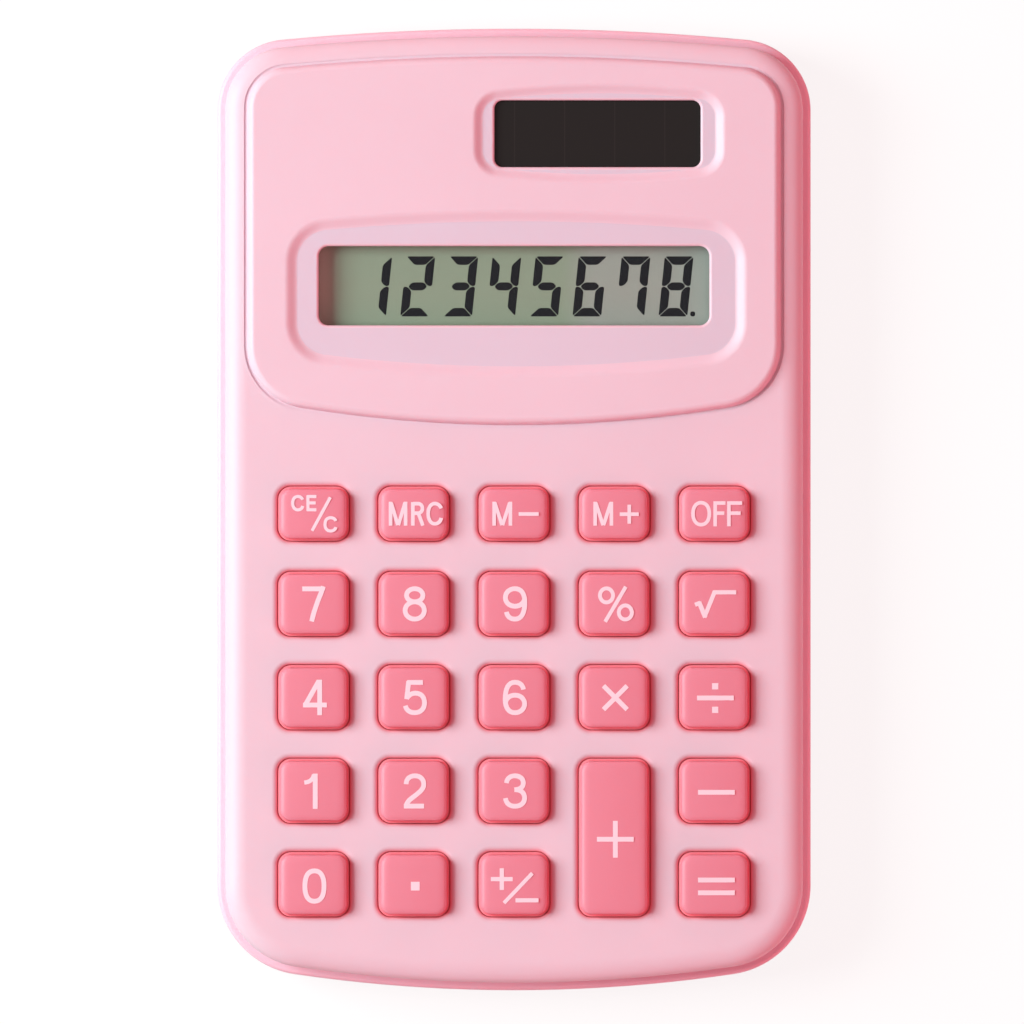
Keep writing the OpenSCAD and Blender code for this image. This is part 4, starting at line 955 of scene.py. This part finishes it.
def draw(curve, path, place):
    """Adds a path's strokes to a curve. Z closes a stroke on to its first point."""
    dx, dy, sx, sy = place
    for sub in re.findall("M[^M]*", path):
        knots = []
        for kind, text in re.findall("([MLC])([^MLCZ]*)", sub):
            values = [float(t) for t in text.split()]
            points = [Vector((dx + sx * x, dy + sy * y, 0))
                      for x, y in zip(values[::2], values[1::2])]
            if kind == "C":
                knots[-1][2] = points[0]
                knots.append([points[2], points[1], points[2]])
            else:
                knots.extend([p, p, p] for p in points)
        closed = "Z" in sub
        if closed:
            knots[0][1] = knots.pop()[1]
        spline = curve.splines.new("BEZIER")
        spline.bezier_points.add(len(knots) - 1)
        spline.use_cyclic_u = closed
        for point, (co, left, right) in zip(spline.bezier_points, knots):
            point.handle_left_type = point.handle_right_type = "FREE"
            point.co, point.handle_left, point.handle_right = co, left, right


def legend(name, at):
    """Pad-printed legend: strokes of ink that lie on the key's crowned top."""
    label = None
    strokes = [(sub, width, (*place, *UNMOVED[len(place):]))
               for path, width, *place in LEGENDS[name]
               for sub in re.findall("M[^M]*", path)]
    for path, width, place in strokes:
        curve = bpy.data.curves.new("strokes", "CURVE")
        curve.dimensions, curve.resolution_u = "3D", 8
        curve.extrude = (INK_HIGH - INK_LOW) / 2
        draw(curve, path, place)
        drawn = bpy.data.objects.new("strokes", curve)
        bpy.context.scene.collection.objects.link(drawn)
        bpy.context.view_layer.update()
        ribbon = bpy.data.meshes.new_from_object(
            drawn.evaluated_get(bpy.context.evaluated_depsgraph_get()))
        bpy.data.objects.remove(drawn)
        wall = bpy.data.objects.new("ribbon", ribbon)
        bpy.context.scene.collection.objects.link(wall)
        thick = wall.modifiers.new("stroke", "SOLIDIFY")
        thick.thickness, thick.offset, thick.use_even_offset = width, 0, True
        settled(wall)
        bm = bmesh.new()
        bm.from_mesh(wall.data)
        bmesh.ops.recalc_face_normals(bm, faces=bm.faces)
        bm.to_mesh(wall.data)
        bm.free()
        label = merge(label, wall) if label else wall
    label.data.transform(Matrix.Translation((at.x, at.y, (INK_LOW + INK_HIGH) / 2)))
    piece(label, name + "_legend", name, [INK], sharp=40)


# ---------------------------------------- display digits

DIGIT_H, DIGIT_W, DIGIT_PITCH, SLANT = 7.2, 3.45, 5.16, 0.104
SEGMENT_W, BAR_W, SEGMENT_GAP, SEGMENT_ROUND = 1.02, 0.96, 0.07, 0.24
SEGMENTS = {"1": "bc", "2": "abged", "3": "abgcd", "4": "fgbc", "5": "afgcd", "6": "afgedc",
            "7": "fabc", "8": "abcdefg"}
SHOWN = "12345678"
FIRST_X, DIGIT_LOW_Y = -18.8, DISPLAY.y - 3.66
POINT_SIZE, POINT_GAP = 0.6, 0.35
LENS_T, FIGURE_SINK, FIGURE_T = 0.8, 0.002, 0.006
FIGURE_Z = LENS_TOP_Z - LENS_T - FIGURE_SINK


def digit(bm, figure, x, y):
    """Slanted seven-segment figure with its lower left corner at (x, y)."""
    w, h, m, t, b = DIGIT_W, DIGIT_H, DIGIT_H / 2, SEGMENT_W, BAR_W / 2
    mitres = {
        "a": ((0, w, h - t, h), [((0, h), (1, 1)), ((w, h), (-1, 1))]),
        "d": ((0, w, 0, t), [((0, 0), (1, -1)), ((w, 0), (-1, -1))]),
        "g": ((0, w, m - b, m + b), [((t / 2, m), (1, 1)), ((t / 2, m), (1, -1)),
                                     ((w - t / 2, m), (-1, 1)), ((w - t / 2, m), (-1, -1))]),
        "f": ((0, t, m, h), [((0, h), (-1, -1)), ((t / 2, m), (-1, 1)), ((0, m), (0, 1))]),
        "b": ((w - t, w, m, h), [((w, h), (1, -1)), ((w - t / 2, m), (1, 1)), ((0, m), (0, 1))]),
        "e": ((0, t, 0, m), [((0, 0), (-1, 1)), ((t / 2, m), (-1, -1)), ((0, m), (0, -1))]),
        "c": ((w - t, w, 0, m), [((w, 0), (1, 1)), ((w - t / 2, m), (1, -1)), ((0, m), (0, -1))]),
    }
    lean = Matrix(((1, SLANT, 0, x), (0, 1, 0, y), (0, 0, 1, FIGURE_Z), (0, 0, 0, 1)))
    for name in SEGMENTS[figure]:
        (x0, x1, y0, y1), cuts = mitres[name]
        plate(bm, x0, x1, y0, y1, cuts, lean)


def plate(bm, x0, x1, y0, y1, cuts, place):
    """Thin plate trimmed by planes (point, way to the side that stays), each half a gap back."""
    old = set(bm.verts)
    bmesh.ops.create_grid(bm, x_segments=1, y_segments=1, size=0.5)
    fresh = [v for v in bm.verts if v not in old]
    bmesh.ops.transform(bm, verts=fresh, matrix=Matrix.Translation(
        ((x0 + x1) / 2, (y0 + y1) / 2, 0)) @ Matrix.Diagonal((x1 - x0, y1 - y0, 1, 1)))
    for point, way in cuts:
        way = Vector((*way, 0)).normalized()
        edge = Vector((*point, 0)) + way * SEGMENT_GAP / 2
        geom = {g for v in bm.verts if v not in old for g in (v, *v.link_edges, *v.link_faces)}
        bmesh.ops.bisect_plane(bm, geom=list(geom), dist=1e-5, plane_co=edge, plane_no=way,
                               clear_inner=True)
    bmesh.ops.bevel(bm, geom=[v for v in bm.verts if v not in old], offset=SEGMENT_ROUND,
                    segments=3, profile=0.5, affect="VERTICES", clamp_overlap=True)
    face = next(f for v in bm.verts if v not in old for f in v.link_faces)
    grown = bmesh.ops.extrude_face_region(bm, geom=[face])["geom"]
    bmesh.ops.translate(bm, verts=[g for g in grown if isinstance(g, bmesh.types.BMVert)],
                        vec=(0, 0, FIGURE_T))
    bmesh.ops.transform(bm, verts=[v for v in bm.verts if v not in old], matrix=place)


def display_digits():
    """Dark figures of the liquid crystal, just over the polariser."""
    bm = bmesh.new()
    for i, figure in enumerate(SHOWN):
        digit(bm, figure, FIRST_X + i * DIGIT_PITCH, DIGIT_LOW_Y)
    point_x = FIRST_X + (len(SHOWN) - 1) * DIGIT_PITCH + DIGIT_W + POINT_GAP
    point_at = Matrix.Translation((point_x, DIGIT_LOW_Y, FIGURE_Z))
    plate(bm, 0, POINT_SIZE, 0, POINT_SIZE, [], point_at)
    bmesh.ops.recalc_face_normals(bm, faces=bm.faces)
    piece(from_bmesh(bm), "display_figures", "case", [SEGMENT])


upper_shell()
lower_shell()
battery_door()
rubber_feet()
for name, at, w, l in key_spans():
    key_cap(name, at, w, l)
    legend(name, at)
display_digits()
